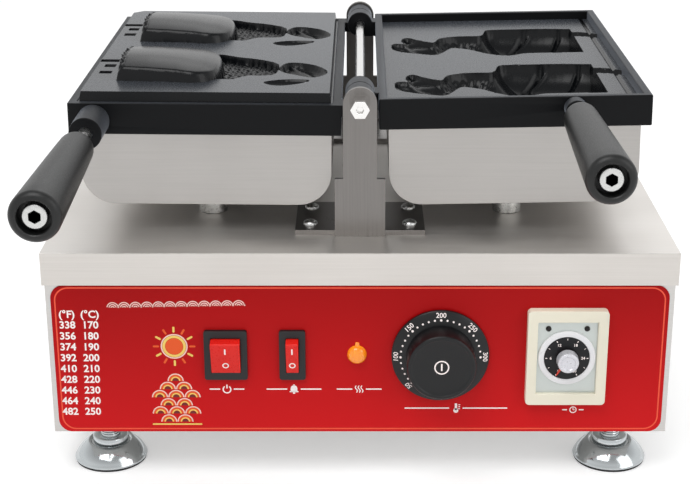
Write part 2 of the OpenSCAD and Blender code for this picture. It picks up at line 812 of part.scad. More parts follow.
// Cable gland through the rear wall, empty, with its nut inside
module cable_gland() {
    hex_l = 6;
    thread_l = 12;
    nose_l = gland_reach + tray_t - hex_l - 2;
    color("black") translate([gland_x, rear_y, foot_h + gland_z]) difference() {
        union() {
            rotate([-90, 0, 0]) cylinder(d = (gland_d + 4) / cos(30), h = hex_l, $fn = 6);
            translate([0, hex_l, 0]) rod_y(gland_d, 2);
            translate([0, hex_l + 2, 0]) rotate([-90, 0, 0])
                cylinder(d1 = gland_d + 3, d2 = gland_d - 3, h = nose_l);
            translate([0, -thread_l, 0]) rod_y(gland_d, thread_l + cut);
        }
        translate([0, -thread_l - cut, 0]) rod_y(gland_bore_d, gland_reach + tray_t + thread_l + 2 * cut);
    }
}

module gland_nut() {
    nut_l = 5;
    color("black") translate([gland_x, rear_y - sheet_t - nut_l, foot_h + gland_z]) difference() {
        rotate([-90, 0, 0]) cylinder(d = (gland_d + 6) / cos(30), h = nut_l, $fn = 6);
        translate([0, -cut, 0]) rod_y(gland_d + 2 * seat_gap, nut_l + 2 * cut);
    }
}

// Terminal block on the rear wall, inside
module terminal_block() {
    pitch = terminal_w / 5.5;
    color("beige") translate([gland_x - terminal_offset, rear_y - sheet_t - terminal_l, foot_h + gland_z])
        difference() {
            translate([-terminal_w / 2, 0, -terminal_h / 2]) cube([terminal_w, terminal_l, terminal_h]);
            for (i = [-2:2]) translate([i * pitch, terminal_l / 3, 0])
                cylinder(d = terminal_bore_d, h = terminal_h);
        }
}

// Buzzer behind the front wall, inside
module buzzer() {
    color("black") translate([(alarm_x + pilot_x) / 2, wall_y + sheet_t, control_z + buzzer_rise])
        difference() {
            rod_y(buzzer_d, buzzer_l);
            translate([0, 0.6 * buzzer_l, 0]) rod_y(3, buzzer_l);
        }
}

// Levelling foot: a bell with a groove round its stud
module foot(f) {
    lip = pad_t + 1;
    color("silver") foot_place(f) {
        difference() {
            rotate_extrude() polygon([
                [0, pad_t], [bell_d / 2 - 0.4, pad_t], [bell_d / 2, pad_t + 0.4], [bell_d / 2, lip],
                [bell_neck_d / 2 + 1, bell_h - 1.5], [bell_neck_d / 2 + 0.3, bell_h], [0, bell_h]
            ]);
            translate([0, 0, bell_h - 3]) cylinder(d = bell_neck_d - 1.4, h = 3 + cut);
            translate([0, 0, -cut]) cylinder(d = bell_d - 8, h = pad_t + 2 + cut);
        }
        translate([0, 0, bell_h - 3 - cut]) cylinder(d = stud_d, h = foot_h + stud_in - bell_h + 3 + cut);
    }
}

module front_left_foot() {
    foot(feet[0]);
}

module front_right_foot() {
    foot(feet[1]);
}

module rear_left_foot() {
    foot(feet[2]);
}

module rear_right_foot() {
    foot(feet[3]);
}

// Rubber pad pressed into the hollow under a bell
module pad(f) {
    color("black") foot_place(f) {
        cylinder(d = bell_d - 1, h = pad_t);
        cylinder(d = bell_d - 8 - 2 * seat_gap, h = pad_t + 2);
    }
}

module front_left_pad() {
    pad(feet[0]);
}

module front_right_pad() {
    pad(feet[1]);
}

module rear_left_pad() {
    pad(feet[2]);
}

module rear_right_pad() {
    pad(feet[3]);
}

// Cast frame of a mould half with two hinge knuckles, in the half's own space
module frame(rim_top, knuckles) {
    bottom = rim_top - frame_h;
    inner_w = half_w - 2 * rim_w;
    inner_d = half_d - 2 * rim_w;
    color("black") difference() {
        union() {
            translate([half_inset, half_front, bottom]) cube([half_w, half_d, frame_h]);
            for (k = knuckles) translate([0, k, 0]) {
                rod_y(knuckle_d, knuckle_l);
                translate([0, 0, -knuckle_d / 2])
                    cube([half_inset + cut, knuckle_l, knuckle_d / 2 + rim_top]);
            }
        }
        translate([half_inset + rim_w, half_front + rim_w, bottom + ledge_t])
            cube([inner_w, inner_d, frame_h]);
        translate([half_inset + rim_w + ledge_w, half_front + rim_w + ledge_w, bottom - cut])
            cube([inner_w - 2 * ledge_w, inner_d - 2 * ledge_w, frame_h]);
        for (k = knuckles) translate([0, k - cut, 0]) rod_y(shaft_d + 2 * run_gap, knuckle_l + 2 * cut);
    }
}

// Body of a mould plate that drops into the frame onto its ledge
module plate_body(rim_top, face, drop) {
    seat = rim_top - frame_h + ledge_t;
    w = half_w - 2 * rim_w - 2 * plate_gap;
    d = half_d - 2 * rim_w - 2 * plate_gap;
    low = ledge_w;
    shelf = min(face, rim_top - 0.6);
    translate([heater_mid_u - w / 2, half_mid - d / 2, seat]) cube([w, d, shelf - seat]);
    if (face > rim_top)
        translate([half_inset + raise_step, half_front + raise_step, seat])
            cube([half_w - 2 * raise_step, half_d - 2 * raise_step, face - seat]);
    translate([heater_mid_u - w / 2 + low, half_mid - d / 2 + low, -drop])
        cube([w - 2 * low, d - 2 * low, seat + drop]);
}

// Places children at the two bolts of a cover
module cover_bolt_places() {
    for (sy = [-1, 1])
        translate([heater_mid_u, half_mid + sy * (half_d / 2 - cover_bolt_inset), 0]) children();
}

// Blind threads for the cover bolts in the underside of a mould plate
module cover_bolt_holes(drop) {
    cover_bolt_places() translate([0, 0, -drop - cut])
        cylinder(d = cover_bolt_d + 2 * seat_gap, h = bolt_in + 1 + cut);
}

// The raised plate: two mouth cores, with the fish's neck and tail sunk beyond them
module left_mould() {
    color("dimgray") on_half(-1) difference() {
        union() {
            plate_body(left_rim_top, left_face, left_mould_drop);
            for (v = fish_rows) translate([mouth_u - 1.5, v - mouth_shift - 1, left_face]) mouth_core();
        }
        for (v = fish_rows) translate([0, v, left_face]) tail_relief();
        cover_bolt_holes(left_mould_drop);
    }
}

// One core: a thumb shape, highest at the mouth end and rounded towards the neck
module mouth_core() {
    top_r = 9;
    tip_h = 8;
    color("dimgray") hull() {
        translate([-10, 0, -cut]) rotate([0, 90, 0])
            linear_extrude(height = 10) core_section(core_w, core_h + cut, top_r, $fn = 32);
        translate([-0.35 * core_l, -1.5, -cut]) rotate([0, 90, 0])
            linear_extrude(height = 1) core_section(core_w, core_h - 1.5 + cut, top_r, $fn = 32);
        translate([21.5 - core_l, -15, -cut]) cylinder(d1 = 43, d2 = 33, h = tip_h + cut, $fn = 32);
        translate([20 - core_l, 10, -cut]) cylinder(d1 = 34, d2 = 26, h = tip_h + cut, $fn = 32);
    }
}

// Section of a core, standing along -X so that it can be laid down
module core_section(w, h, r) {
    translate([-h, 0]) {
        translate([r, -w / 2]) square([h - r, w]);
        translate([0, -w / 2 + r]) square([h, w - 2 * r]);
        for (s = [-1, 1]) translate([r, s * (w / 2 - r)]) circle(r = r);
    }
}

// Neck, tail and vents sunk into the raised face, seen from the face's own level
module tail_relief() {
    neck_d = 5;
    tail_d = 3.5;
    vent_d = 2;
    translate([0, 0, -neck_d]) linear_extrude(height = neck_d + cut)
        polygon([
            [83, 30], [77, 26], [65, 22], [51, 11], [49, -4], [50, -18],
            [61, -23], [68, -22], [75, -29], [80, -34], [83, -32]
        ]);
    translate([0, 0, -tail_d]) linear_extrude(height = tail_d + cut) {
        translate([34, -5]) rotate(59) leaf(45, 20);
        translate([44.5, -38]) rotate(-20) leaf(33, 11);
    }
    for (i = [0:2]) translate([mouth_u + 3, 13 - 13 * i, -vent_d])
        cube([12 - 3 * i, 2.5, vent_d + cut]);
}

// The sunk plate: two whole fish pockets, each with a vent groove to the outer edge
module right_mould() {
    color("dimgray") on_half(1) difference() {
        plate_body(right_rim_top, right_face, right_mould_drop);
        for (v = fish_rows) translate([0, v, right_face]) fish_pocket();
        cover_bolt_holes(right_mould_drop);
    }
}

// A fish pocket below the sunk face: a bowl for the mouth and belly, then the neck and the tail
module fish_pocket() {
    groove_d = 3;
    translate([mouth_u, -mouth_shift, 0]) mouth_bowl(69);
    translate([mouth_u - 51, -18.5, 0]) belly_bowl();
    sunk_in_steps(neck_depth, 2) polygon([
        [89, 26], [86, 14], [82, 13.4], [75, 14.4], [66, 13.8], [54, 6.2], [48, -5],
        [50, -22], [60, -26], [63.5, -22], [74, -28], [80, -36], [87, -42]
    ]);
    sunk_in_steps(tail_depth, 3) polygon([
        [56, -5], [50, -5], [40, 2], [33, 12], [28.5, 9], [28.5, -2], [31, -9], [22, -9],
        [21.5, -26], [29, -33], [42, -40.5], [50, -44], [55, -38], [60, -26]
    ]);
    translate([mouth_u - 2, 7, -groove_d])
        cube([half_inset + half_w - rim_w - mouth_u - 2, 9, groove_d + cut]);
}

// The mouth: upright at its open end, with sides that slope in towards the floor
module mouth_bowl(l) {
    skin = 0.01;
    steep = 0.55 * mouth_depth;
    levels = [[-cut, 0], [steep, 3], [mouth_depth, 11]];
    for (i = [0:1]) hull() for (level = [levels[i], levels[i + 1]])
        translate([level[1] - l, level[1] - mouth_w / 2, -level[0]])
            cube([l - level[1], mouth_w - 2 * level[1], skin]);
}

// The belly: two cones, the lower one flatter
module belly_bowl() {
    d = 60;
    steep = 0.55 * belly_depth;
    translate([0, 0, -steep]) cylinder(d1 = d - 7, d2 = d, h = steep);
    cylinder(d = d, h = cut);
    translate([0, 0, -belly_depth]) cylinder(d1 = d - 24, d2 = d - 7, h = belly_depth - steep);
}

// Sinks an outline to a depth in two steps, the lower one drawn in
module sunk_in_steps(depth, inset) {
    translate([0, 0, -0.6 * depth]) linear_extrude(height = 0.6 * depth + cut) children();
    translate([0, 0, -depth]) linear_extrude(height = depth) offset(delta = -inset) children();
}

// Tubular heater: four legs under the plate, joined by half turns
module heater(drop) {
    y0 = half_mid - heater_run / 2;
    y1 = half_mid + heater_run / 2;
    color("darkslategray") translate([heater_mid_u, 0, -drop - heater_d / 2]) {
        for (i = [-1.5:1:1.5]) {
            lead = abs(i) > 1 ? 22 : 0;
            translate([i * heater_pitch, y0 - lead, 0]) rod_y(heater_d, heater_run + lead);
        }
        for (i = [-1, 1]) translate([i * heater_pitch, y1, 0])
            rotate_extrude(angle = 180) translate([heater_pitch / 2, 0]) circle(d = heater_d);
        translate([0, y0, 0]) rotate([0, 0, 180])
            rotate_extrude(angle = 180) translate([heater_pitch / 2, 0]) circle(d = heater_d);
    }
}

// Plate that holds the heater against the mould, with two sleeves that stand on the cover
module clamp(drop) {
    w = 4 * heater_pitch;
    d = heater_run - 10;
    top = -drop - heater_d;
    sleeve_bottom = -cover_drop + cover_t;
    color("gray") difference() {
        union() {
            translate([heater_mid_u - w / 2, half_mid - d / 2, top - clamp_t]) cube([w, d, clamp_t]);
            cover_bolt_places() translate([0, 0, sleeve_bottom])
                cylinder(d = cover_bolt_d + 6, h = top - sleeve_bottom);
        }
        cover_bolt_places() translate([0, 0, sleeve_bottom - cut])
            cylinder(d = cover_bolt_d + 2 * seat_gap, h = top - sleeve_bottom + 2 * cut);
    }
}

// Outline of a cover in its front view, with two round lower corners
module cover_outline(w, top, bottom, r) {
    translate([-w / 2, bottom + r]) square([w, top - bottom - r]);
    translate([-w / 2 + r, bottom]) square([w - 2 * r, r + cut]);
    for (s = [-1, 1]) translate([s * (w / 2 - r), bottom + r]) circle(r = r);
}

// Cover under a mould half: a folded tub with flat ends
module cover(rim_top) {
    top = rim_top - frame_h;
    w = half_w - 2 * cover_inset;
    d = half_d - 2 * cover_inset;
    color("silver") difference() {
        translate([heater_mid_u, half_mid + d / 2, 0]) rotate([90, 0, 0])
            linear_extrude(height = d) cover_outline(w, top, -cover_drop, cover_r);
        translate([heater_mid_u, half_mid + d / 2 - cover_t, 0]) rotate([90, 0, 0])
            linear_extrude(height = d - 2 * cover_t)
                cover_outline(w - 2 * cover_t, top + cut, -cover_drop + cover_t, cover_r - cover_t);
        cover_bolt_places() translate([0, 0, -cover_drop - cut])
            cylinder(d = cover_bolt_d + 2 * seat_gap, h = cover_t + 2 * cut);
    }
}

// Bolts from below the cover, through the sleeves, into the mould plate
module cover_bolts(drop) {
    color("silver") cover_bolt_places() {
        translate([0, 0, -cover_drop - cover_head_h]) cylinder(d = 1.6 * cover_bolt_d, h = cover_head_h);
        translate([0, 0, -cover_drop - cut])
            cylinder(d = cover_bolt_d, h = cover_drop - drop + bolt_in + cut);
    }
}

// Boss on the front of a frame that a handle is screwed to
module boss(u, drop, d, l) {
    color("black") translate([u, half_front - l, -drop]) difference() {
        rod_y(d, l);
        translate([0, -cut, 0]) rod_y(grip_bolt_d + 2 * seat_gap, l + 2 * cut);
    }
}

// Grip: a long taper with a rounded shoulder at the far end and a recess in the free end
module grip(u, drop, start) {
    small = grip_small_d / 2;
    big = grip_big_d / 2;
    r = grip_end_r;
    bore = grip_bolt_d / 2 + seat_gap;
    recess = grip_recess_d / 2;
    color("black") translate([u, start, -drop]) rotate([90, 0, 0]) rotate_extrude() difference() {
        union() {
            polygon([
                [0, 0], [0.55 * small, 0], [0.8 * small, 0.25 * shoulder_l],
                [0.95 * small, 0.6 * shoulder_l], [small, shoulder_l], [big, grip_l - r], [0, grip_l - r]
            ]);
            translate([0, grip_l - r - cut]) square([big - r, r + cut]);
            translate([big - r, grip_l - r]) intersection() {
                circle(r = r);
                square(r);
            }
        }
        translate([-cut, -cut]) square([bore + cut, grip_l + 2 * cut]);
        translate([0, grip_l - grip_recess_l]) square([recess, grip_recess_l + cut]);
    }
}

// Long socket-head bolt through a grip and a boss into the frame
module grip_bolt(u, drop, start) {
    reach = 2.5;
    head_y = start - grip_l + grip_recess_l;
    color("silver") translate([u, head_y, -drop]) difference() {
        union() {
            translate([0, -grip_head_l, 0]) rod_y(grip_head_d, grip_head_l);
            rod_y(grip_bolt_d, half_front - head_y + reach);
        }
        translate([0, -grip_head_l - cut, 0]) rotate([-90, 0, 0])
            cylinder(d = 0.55 * grip_head_d, h = 3.5 + cut, $fn = 6);
    }
}

// Blind hole in a frame's front wall for the grip bolt
module grip_bolt_hole(u, drop) {
    translate([u, half_front - cut, -drop]) rod_y(grip_bolt_d + 2 * seat_gap, 3 + cut);
}

// Knuckles run left, right from the front and right, left at the rear
left_knuckles = [
    knuckle_start,
    half_front + half_d - knuckle_l
];
right_knuckles = [
    knuckle_start + knuckle_l + knuckle_gap,
    half_front + half_d - 2 * knuckle_l - knuckle_gap
];

module left_frame() {
    on_half(-1) color("black") difference() {
        frame(left_rim_top, left_knuckles);
        grip_bolt_hole(left_handle_u, left_handle_drop);
    }
}

module left_heater() {
    on_half(-1) heater(left_mould_drop);
}

module left_clamp() {
    on_half(-1) clamp(left_mould_drop);
}

module left_cover() {
    on_half(-1) cover(left_rim_top);
}

module left_cover_bolts() {
    on_half(-1) cover_bolts(left_mould_drop);
}

module left_boss() {
    on_half(-1) boss(left_handle_u, left_handle_drop, left_boss_d, left_boss_l);
}

module left_grip() {
    on_half(-1) grip(left_handle_u, left_handle_drop, -left_grip_start);
}

module left_grip_bolt() {
    on_half(-1) grip_bolt(left_handle_u, left_handle_drop, -left_grip_start);
}

module right_frame() {
    on_half(1) color("black") difference() {
        frame(right_rim_top, right_knuckles);
        grip_bolt_hole(right_handle_u, right_handle_drop);
    }
}

module right_heater() {
    on_half(1) heater(right_mould_drop);
}

module right_clamp() {
    on_half(1) clamp(right_mould_drop);
}

module right_cover() {
    on_half(1) cover(right_rim_top);
}

module right_cover_bolts() {
    on_half(1) cover_bolts(right_mould_drop);
}

module right_boss() {
    on_half(1) boss(right_handle_u, right_handle_drop, right_boss_d, right_boss_l);
}

module right_grip() {
    on_half(1) grip(right_handle_u, right_handle_drop, right_grip_start);
}

module right_grip_bolt() {
    on_half(1) grip_bolt(right_handle_u, right_handle_drop, right_grip_start);
}

cabinet();
top_tray();
front_overlay();
floor_plate();
floor_screws();
foot_inserts();
front_bracket();
rear_bracket();
backing_bars();
bracket_screws();
hinge_shaft();
shaft_nuts();
rest_posts();
post_caps();
power_housing();
power_rocker();
alarm_housing();
alarm_rocker();
pilot_holder();
pilot_lens();
thermostat();
temperature_spindle();
temperature_skirt();
temperature_cap();
timer_case();
timer_face();
timer_dial();
timer_lamps();
timer_knob();
timer_pointer();
cable_gland();
gland_nut();
terminal_block();
buzzer();
front_left_foot();
front_right_foot();
rear_left_foot();
rear_right_foot();
front_left_pad();
front_right_pad();
rear_left_pad();
rear_right_pad();
left_frame();
left_mould();
left_heater();
left_clamp();
left_cover();
left_cover_bolts();
left_boss();
left_grip();
left_grip_bolt();
right_frame();
right_mould();
right_heater();
right_clamp();
right_cover();
right_cover_bolts();
right_boss();
right_grip();
right_grip_bolt();
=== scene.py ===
"""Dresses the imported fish-cake maker: its finishes, prints, turned parts and cast moulds."""
import json
import math

import bmesh
import bpy
import numpy as np
from mathutils import Matrix, Vector

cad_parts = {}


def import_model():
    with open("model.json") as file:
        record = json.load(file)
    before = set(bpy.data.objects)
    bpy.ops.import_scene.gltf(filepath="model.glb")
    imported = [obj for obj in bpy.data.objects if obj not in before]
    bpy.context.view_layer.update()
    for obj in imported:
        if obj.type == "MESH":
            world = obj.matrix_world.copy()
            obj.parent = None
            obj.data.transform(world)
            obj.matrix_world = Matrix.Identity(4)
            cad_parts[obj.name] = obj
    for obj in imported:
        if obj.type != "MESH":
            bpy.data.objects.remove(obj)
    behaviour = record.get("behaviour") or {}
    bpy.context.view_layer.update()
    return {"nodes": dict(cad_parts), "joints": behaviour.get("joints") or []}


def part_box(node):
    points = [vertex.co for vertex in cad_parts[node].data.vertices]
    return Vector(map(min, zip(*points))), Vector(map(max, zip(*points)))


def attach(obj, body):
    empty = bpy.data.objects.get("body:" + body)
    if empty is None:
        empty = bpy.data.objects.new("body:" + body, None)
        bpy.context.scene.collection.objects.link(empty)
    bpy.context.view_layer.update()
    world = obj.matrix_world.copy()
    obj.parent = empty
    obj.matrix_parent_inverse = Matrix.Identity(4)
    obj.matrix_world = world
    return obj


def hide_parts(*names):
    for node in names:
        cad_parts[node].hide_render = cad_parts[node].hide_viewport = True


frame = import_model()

MM = 0.001
JOINTS = {joint["name"]: joint for joint in frame["joints"]}
TRAY_LOW, TRAY_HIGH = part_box("top_tray")
OVERLAY_LOW, OVERLAY_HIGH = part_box("front_overlay")
TRAY_FRONT = TRAY_LOW.y / MM
TRAY_TOP = TRAY_HIGH.z / MM
PANEL = OVERLAY_LOW.y / MM
HINGE_Z = JOINTS["left_half_hinge"]["pos_m"][2] / MM
TILT = {-1: math.radians(0.5), 1: math.radians(1.0)}
SIDE_NAME = {-1: "left", 1: "right"}

# The cabinet's height with its tray, the brackets' sheet, and the places of the controls, in mm
CABINET_H = 115.5
SHEET = 3.0
CONTROL_Z = TRAY_TOP - 64
POWER_X, ALARM_X, PILOT_X, KNOB_X = -79.8, -40.2, -1.8, 47.7

# One cast half in its own space in mm: u out from the hinge axis, v behind the tray's front edge, z up
HALF_FRONT = 33.6
HALF_MID_U, HALF_MID_V = 91.0, 158.6
PLATE_W, PLATE_D = 149.7, 239.7
LEDGE = 6.0
FISH_ROWS = (104.6, 212.6)
LEFT_FACE, LEFT_SHELF, LEFT_SEAT, LEFT_BACK = 3.7, -2.5, -15.4, -24.0
RIGHT_FACE, RIGHT_SEAT, RIGHT_BACK = -4.0, -11.9, -31.0

# Flat prints lie this far in front of what they are printed on, in mm
INK = 0.06

# Edges count as sharp above the first angle in degrees, and faces as one flat face below the second
SHARP = 35
FLAT = 0.5

# Stands a flat piece up, so that its upper side faces the front
UPRIGHT = Matrix.Rotation(math.radians(90), 4, "X")


# Placing and making pieces

def world(x=0, y=0, z=0, turn=0):
    """Millimetres to metres, turned by degrees about X and then moved to a point in mm."""
    scale = Matrix.Scale(MM, 4)
    return Matrix.Translation(Vector((x, y, z)) * MM) @ Matrix.Rotation(math.radians(turn), 4, "X") @ scale


def facing_front(x, y, z):
    """Puts a piece that was made flat, face up, on an upright plane that faces the front."""
    return world(x, y, z, 90)


def half_space(side):
    """From a half's own space in mm to the world."""
    hinge = Matrix.Translation(Vector((0, TRAY_FRONT, HINGE_Z)) * MM)
    turn = Matrix.Rotation(-side * TILT[side], 4, "Y")
    flip = Matrix.Scale(side, 4, (1, 0, 0))
    return hinge @ turn @ flip @ Matrix.Scale(MM, 4)


def new_object(name, data):
    """An object of the given data, in the scene."""
    made = bpy.data.objects.new(name, data)
    bpy.context.scene.collection.objects.link(made)
    return made


def mesh_from(bm, name, sharp=None):
    """Turns a bmesh into a mesh, smooth but for edges sharper than an angle in degrees, and frees it."""
    mesh = bpy.data.meshes.new(name)
    bm.to_mesh(mesh)
    bm.free()
    if sharp:
        mesh.shade_smooth()
        mesh.set_sharp_from_angle(angle=math.radians(sharp))
    return mesh


def verts_of(geom):
    """The vertices among what a bmesh operator gives back."""
    return [item for item in geom if isinstance(item, bmesh.types.BMVert)]


def link(name, mesh, body, finish, nodes):
    """Makes an object of a finished mesh, gives it its finish and lets it ride on its body."""
    piece = new_object(name, mesh)
    mesh.materials.append(finish)
    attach(piece, body)
    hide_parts(*nodes)
    return piece


def piece_from(bm, name, place, body, finish, nodes, sharp=SHARP):
    """Makes a piece of a bmesh: places it, points its faces outwards and smooths what isn't sharp."""
    bmesh.ops.transform(bm, matrix=place, verts=bm.verts)
    bmesh.ops.remove_doubles(bm, verts=bm.verts, dist=1e-7)
    bmesh.ops.recalc_face_normals(bm, faces=bm.faces)
    return link(name, mesh_from(bm, name, sharp), body, finish, nodes)


def broken_edges(piece, width, segments, angle=SHARP):
    """Rounds a piece's sharp edges by a width in mm."""
    round_off = piece.modifiers.new("edges", "BEVEL")
    round_off.width = width * MM
    round_off.segments = segments
    round_off.limit_method = "ANGLE"
    round_off.angle_limit = math.radians(angle)
    round_off.harden_normals = True
    return piece


def dressed(node, body, finish, slot, width=0.0, segments=2):
    """A copy of a CAD node with its loose triangles joined and its edges broken, in place of the node."""
    bm = bmesh.new()
    bm.from_mesh(frame["nodes"][node].data)
    bmesh.ops.remove_doubles(bm, verts=bm.verts, dist=2e-6)
    bmesh.ops.dissolve_limit(bm, angle_limit=math.radians(FLAT), verts=bm.verts, edges=bm.edges)
    name = node + "_dressed"
    piece = link(name, mesh_from(bm, name, SHARP), body, finish, (node,))
    return broken_edges(piece, width, segments) if width else piece


def turned(profile, steps=96):
    """A body of revolution about +Z from (radius, height) points in mm."""
    bm = bmesh.new()
    verts = [bm.verts.new((radius, 0, height)) for radius, height in profile]
    edges = [bm.edges.new(pair) for pair in zip(verts, verts[1:])]
    bmesh.ops.spin(bm, geom=verts + edges, cent=(0, 0, 0), axis=(0, 0, 1),
                   angle=2 * math.pi, steps=steps, use_merge=True)
    bmesh.ops.remove_doubles(bm, verts=bm.verts, dist=1e-4)
    return bm


def quarter(radius, centre, count):
    """Points on a quarter of a circle in a profile, from its outer side up to its top."""
    angles = [math.radians(90 * i / count) for i in range(count + 1)]
    return [(centre[0] + radius * math.cos(a), centre[1] + radius * math.sin(a)) for a in angles]


def slab(width, height, depth, radius=0.0, segments=6):
    """A plate with rounded corners, centred on the origin, from z = 0 up to its depth."""
    bm = bmesh.new()
    bmesh.ops.create_grid(bm, x_segments=1, y_segments=1, size=0.5)
    bmesh.ops.scale(bm, vec=(width, height, 1), verts=bm.verts)
    if radius:
        bmesh.ops.bevel(bm, geom=bm.verts[:], offset=radius, offset_type="OFFSET", segments=segments,
                        profile=0.5, affect="VERTICES", material=-1)
    if depth:
        raised = bmesh.ops.extrude_face_region(bm, geom=bm.faces[:], use_keep_orig=True)["geom"]
        bmesh.ops.translate(bm, vec=(0, 0, depth), verts=verts_of(raised))
    return bm


def disc(radius, segments):
    """A flat filled circle."""
    bm = bmesh.new()
    bmesh.ops.create_circle(bm, cap_ends=True, radius=radius, segments=segments)
    return bm


def hollowed(bm, width):
    """Leaves only a line of the given width along the edge of a flat face."""
    bm.faces.ensure_lookup_table()
    middle = bm.faces[0]
    bmesh.ops.inset_region(bm, faces=[middle], thickness=width, use_even_offset=True, use_boundary=True)
    bmesh.ops.delete(bm, geom=[middle], context="FACES")
    return bm


def ring(radius, width, segments):
    """A flat ring of the given outer radius and line width."""
    return hollowed(disc(radius, segments), width)


def gather(parts):
    """Joins bmeshes, each moved by its own matrix, into one. Flat ones face up before they are moved."""
    whole = bmesh.new()
    for part, place in parts:
        if not any(vert.co.z for vert in part.verts):
            part.normal_update()
            bmesh.ops.reverse_faces(part, faces=[face for face in part.faces if face.normal.z < 0])
        bmesh.ops.transform(part, matrix=place, verts=part.verts)
        mesh = mesh_from(part, "part")
        whole.from_mesh(mesh)
        bpy.data.meshes.remove(mesh)
    return whole


def move(x=0.0, y=0.0, z=0.0, turn=0.0):
    """Turns about Z by degrees and then moves, in mm."""
    return Matrix.Translation((x, y, z)) @ Matrix.Rotation(math.radians(turn), 4, "Z")


def figures(text, size, heavy):
    """Flat figures as a bmesh, with their capitals about `size` mm high."""
    curve = bpy.data.curves.new("figures", "FONT")
    curve.body = text
    capital_share = 0.7
    curve.size = size / capital_share
    curve.offset = heavy
    curve.align_x = "CENTER"
    curve.align_y = "CENTER"
    curve.resolution_u = 3
    holder = new_object("figures", curve)
    bpy.context.view_layer.update()
    mesh = bpy.data.meshes.new_from_object(holder)
    bpy.data.objects.remove(holder)
    bm = bmesh.new()
    bm.from_mesh(mesh)
    bpy.data.meshes.remove(mesh)
    return bm


def print_from(parts, name, place, body, finish):
    """A flat print of several pieces, which faces the way that +Z turns."""
    bm = gather(parts)
    bmesh.ops.transform(bm, matrix=place, verts=bm.verts)
    mesh = mesh_from(bm, name)
    piece = new_object(name, mesh)
    mesh.materials.append(finish)
    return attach(piece, body)


# Materials

def linear(hex_colour):
    """Linear colour of an sRGB hex value."""
    parts = [int(hex_colour[i:i + 2], 16) / 255 for i in (1, 3, 5)]
    return tuple(p / 12.92 if p <= 0.04045 else ((p + 0.055) / 1.055) ** 2.4 for p in parts) + (1.0,)


def add(tree, kind, inputs=(), **settings):
    """Adds a node to a tree: its own settings, and for each input a value or an output to link."""
    node = tree.nodes.new("ShaderNode" + kind)
    for key, value in settings.items():
        setattr(node, key, value)
    for socket, value in dict(inputs).items():
        if isinstance(value, bpy.types.NodeSocket):
            tree.links.new(value, node.inputs[socket])
        else:
            node.inputs[socket].default_value = value
    return node


def maths(tree, operation, first, second=0.0):
    """The result of a math node."""
    return add(tree, "Math", {0: first, 1: second}, operation=operation).outputs[0]


def spread(tree, value, start, stop, low, high):
    """A value spread from one range over another, and held at its ends."""
    limits = {"From Min": start, "From Max": stop, "To Min": low, "To Max": high}
    return add(tree, "MapRange", {"Value": value, **limits}).outputs["Result"]


def blend(tree, share, first, second):
    """A mix of two colours."""
    return add(tree, "Mix", {"Factor": share, "A": first, "B": second}, data_type="RGBA").outputs[2]


def new_finish(name, colour, **sockets):
    """A material whose Principled shader has the given colour and socket values."""
    made = bpy.data.materials.new(name)
    made.use_nodes = True
    shader = made.node_tree.nodes["Principled BSDF"]
    shader.inputs["Base Color"].default_value = linear(colour)
    for socket, value in sockets.items():
        shader.inputs[socket.replace("_", " ")].default_value = value
    return made, made.node_tree, shader


def bumped(tree, shader, height, strength, depth_mm):
    """Lets a texture raise the surface by a depth in mm."""
    bump = add(tree, "Bump", {"Height": height, "Strength": strength, "Distance": depth_mm * MM})
    tree.links.new(bump.outputs["Normal"], shader.inputs["Normal"])


def grained(name, colour, rough, grain_mm, strength, bump_mm=0.02, detail=2.0, tint=None, **sockets):
    """A material in which one noise of a real grain size varies the roughness, the height and, where it
    has a tint, lightly the colour."""
    made, tree, shader = new_finish(name, colour, **sockets)
    place = add(tree, "TexCoord")
    noise = add(tree, "TexNoise", {"Vector": place.outputs["Object"], "Scale": 1 / (grain_mm * MM),
                                   "Detail": detail, "Roughness": 0.6}).outputs["Fac"]
    tree.links.new(spread(tree, noise, 0.3, 0.7, *rough), shader.inputs["Roughness"])
    bumped(tree, shader, noise, strength, bump_mm)
    if tint:
        tree.links.new(blend(tree, noise, linear(tint[0]), linear(tint[1])), shader.inputs["Base Color"])
    return made


def brushed_stainless(name, colour, light, along, rough, scratch_mm=0.9, strength=0.25):
    """Austenitic stainless sheet, belt brushed: a metal with fine parallel scratches, which smear
    reflections across them. The scratches are really about 0.05 mm wide and are drawn coarser to show."""
    made, tree, shader = new_finish(name, colour, Metallic=1.0)
    place = add(tree, "TexCoord")
    across = 1 / (scratch_mm * MM)
    lengthwise = across / 70
    straight = [lengthwise if axis == along else across for axis in "XYZ"]
    on_sides = [across, lengthwise, across] if along == "X" else straight
    front = add(tree, "Mapping", {"Vector": place.outputs["Object"], "Scale": straight})
    side = add(tree, "Mapping", {"Vector": place.outputs["Object"], "Scale": on_sides})
    normal = add(tree, "SeparateXYZ", {"Vector": place.outputs["Normal"]})
    is_side = maths(tree, "GREATER_THAN", maths(tree, "ABSOLUTE", normal.outputs["X"]), 0.7)
    vector = add(tree, "Mix", {"Factor": is_side, 4: front.outputs[0], 5: side.outputs[0]},
                 data_type="VECTOR")
    lines = add(tree, "TexNoise", {"Vector": vector.outputs[1], "Scale": 1.0, "Detail": 3.0,
                                   "Roughness": 0.7})
    clouds = add(tree, "TexNoise", {"Vector": place.outputs["Object"], "Scale": 18.0, "Detail": 2.0})
    shade = blend(tree, lines.outputs["Fac"], linear(colour), linear(light))
    tree.links.new(blend(tree, 0.35, shade, linear(colour)), shader.inputs["Base Color"])
    both = maths(tree, "ADD", lines.outputs["Fac"], clouds.outputs["Fac"])
    tree.links.new(spread(tree, both, 0.7, 1.3, *rough), shader.inputs["Roughness"])
    bumped(tree, shader, lines.outputs["Fac"], strength, 0.03)
    return made


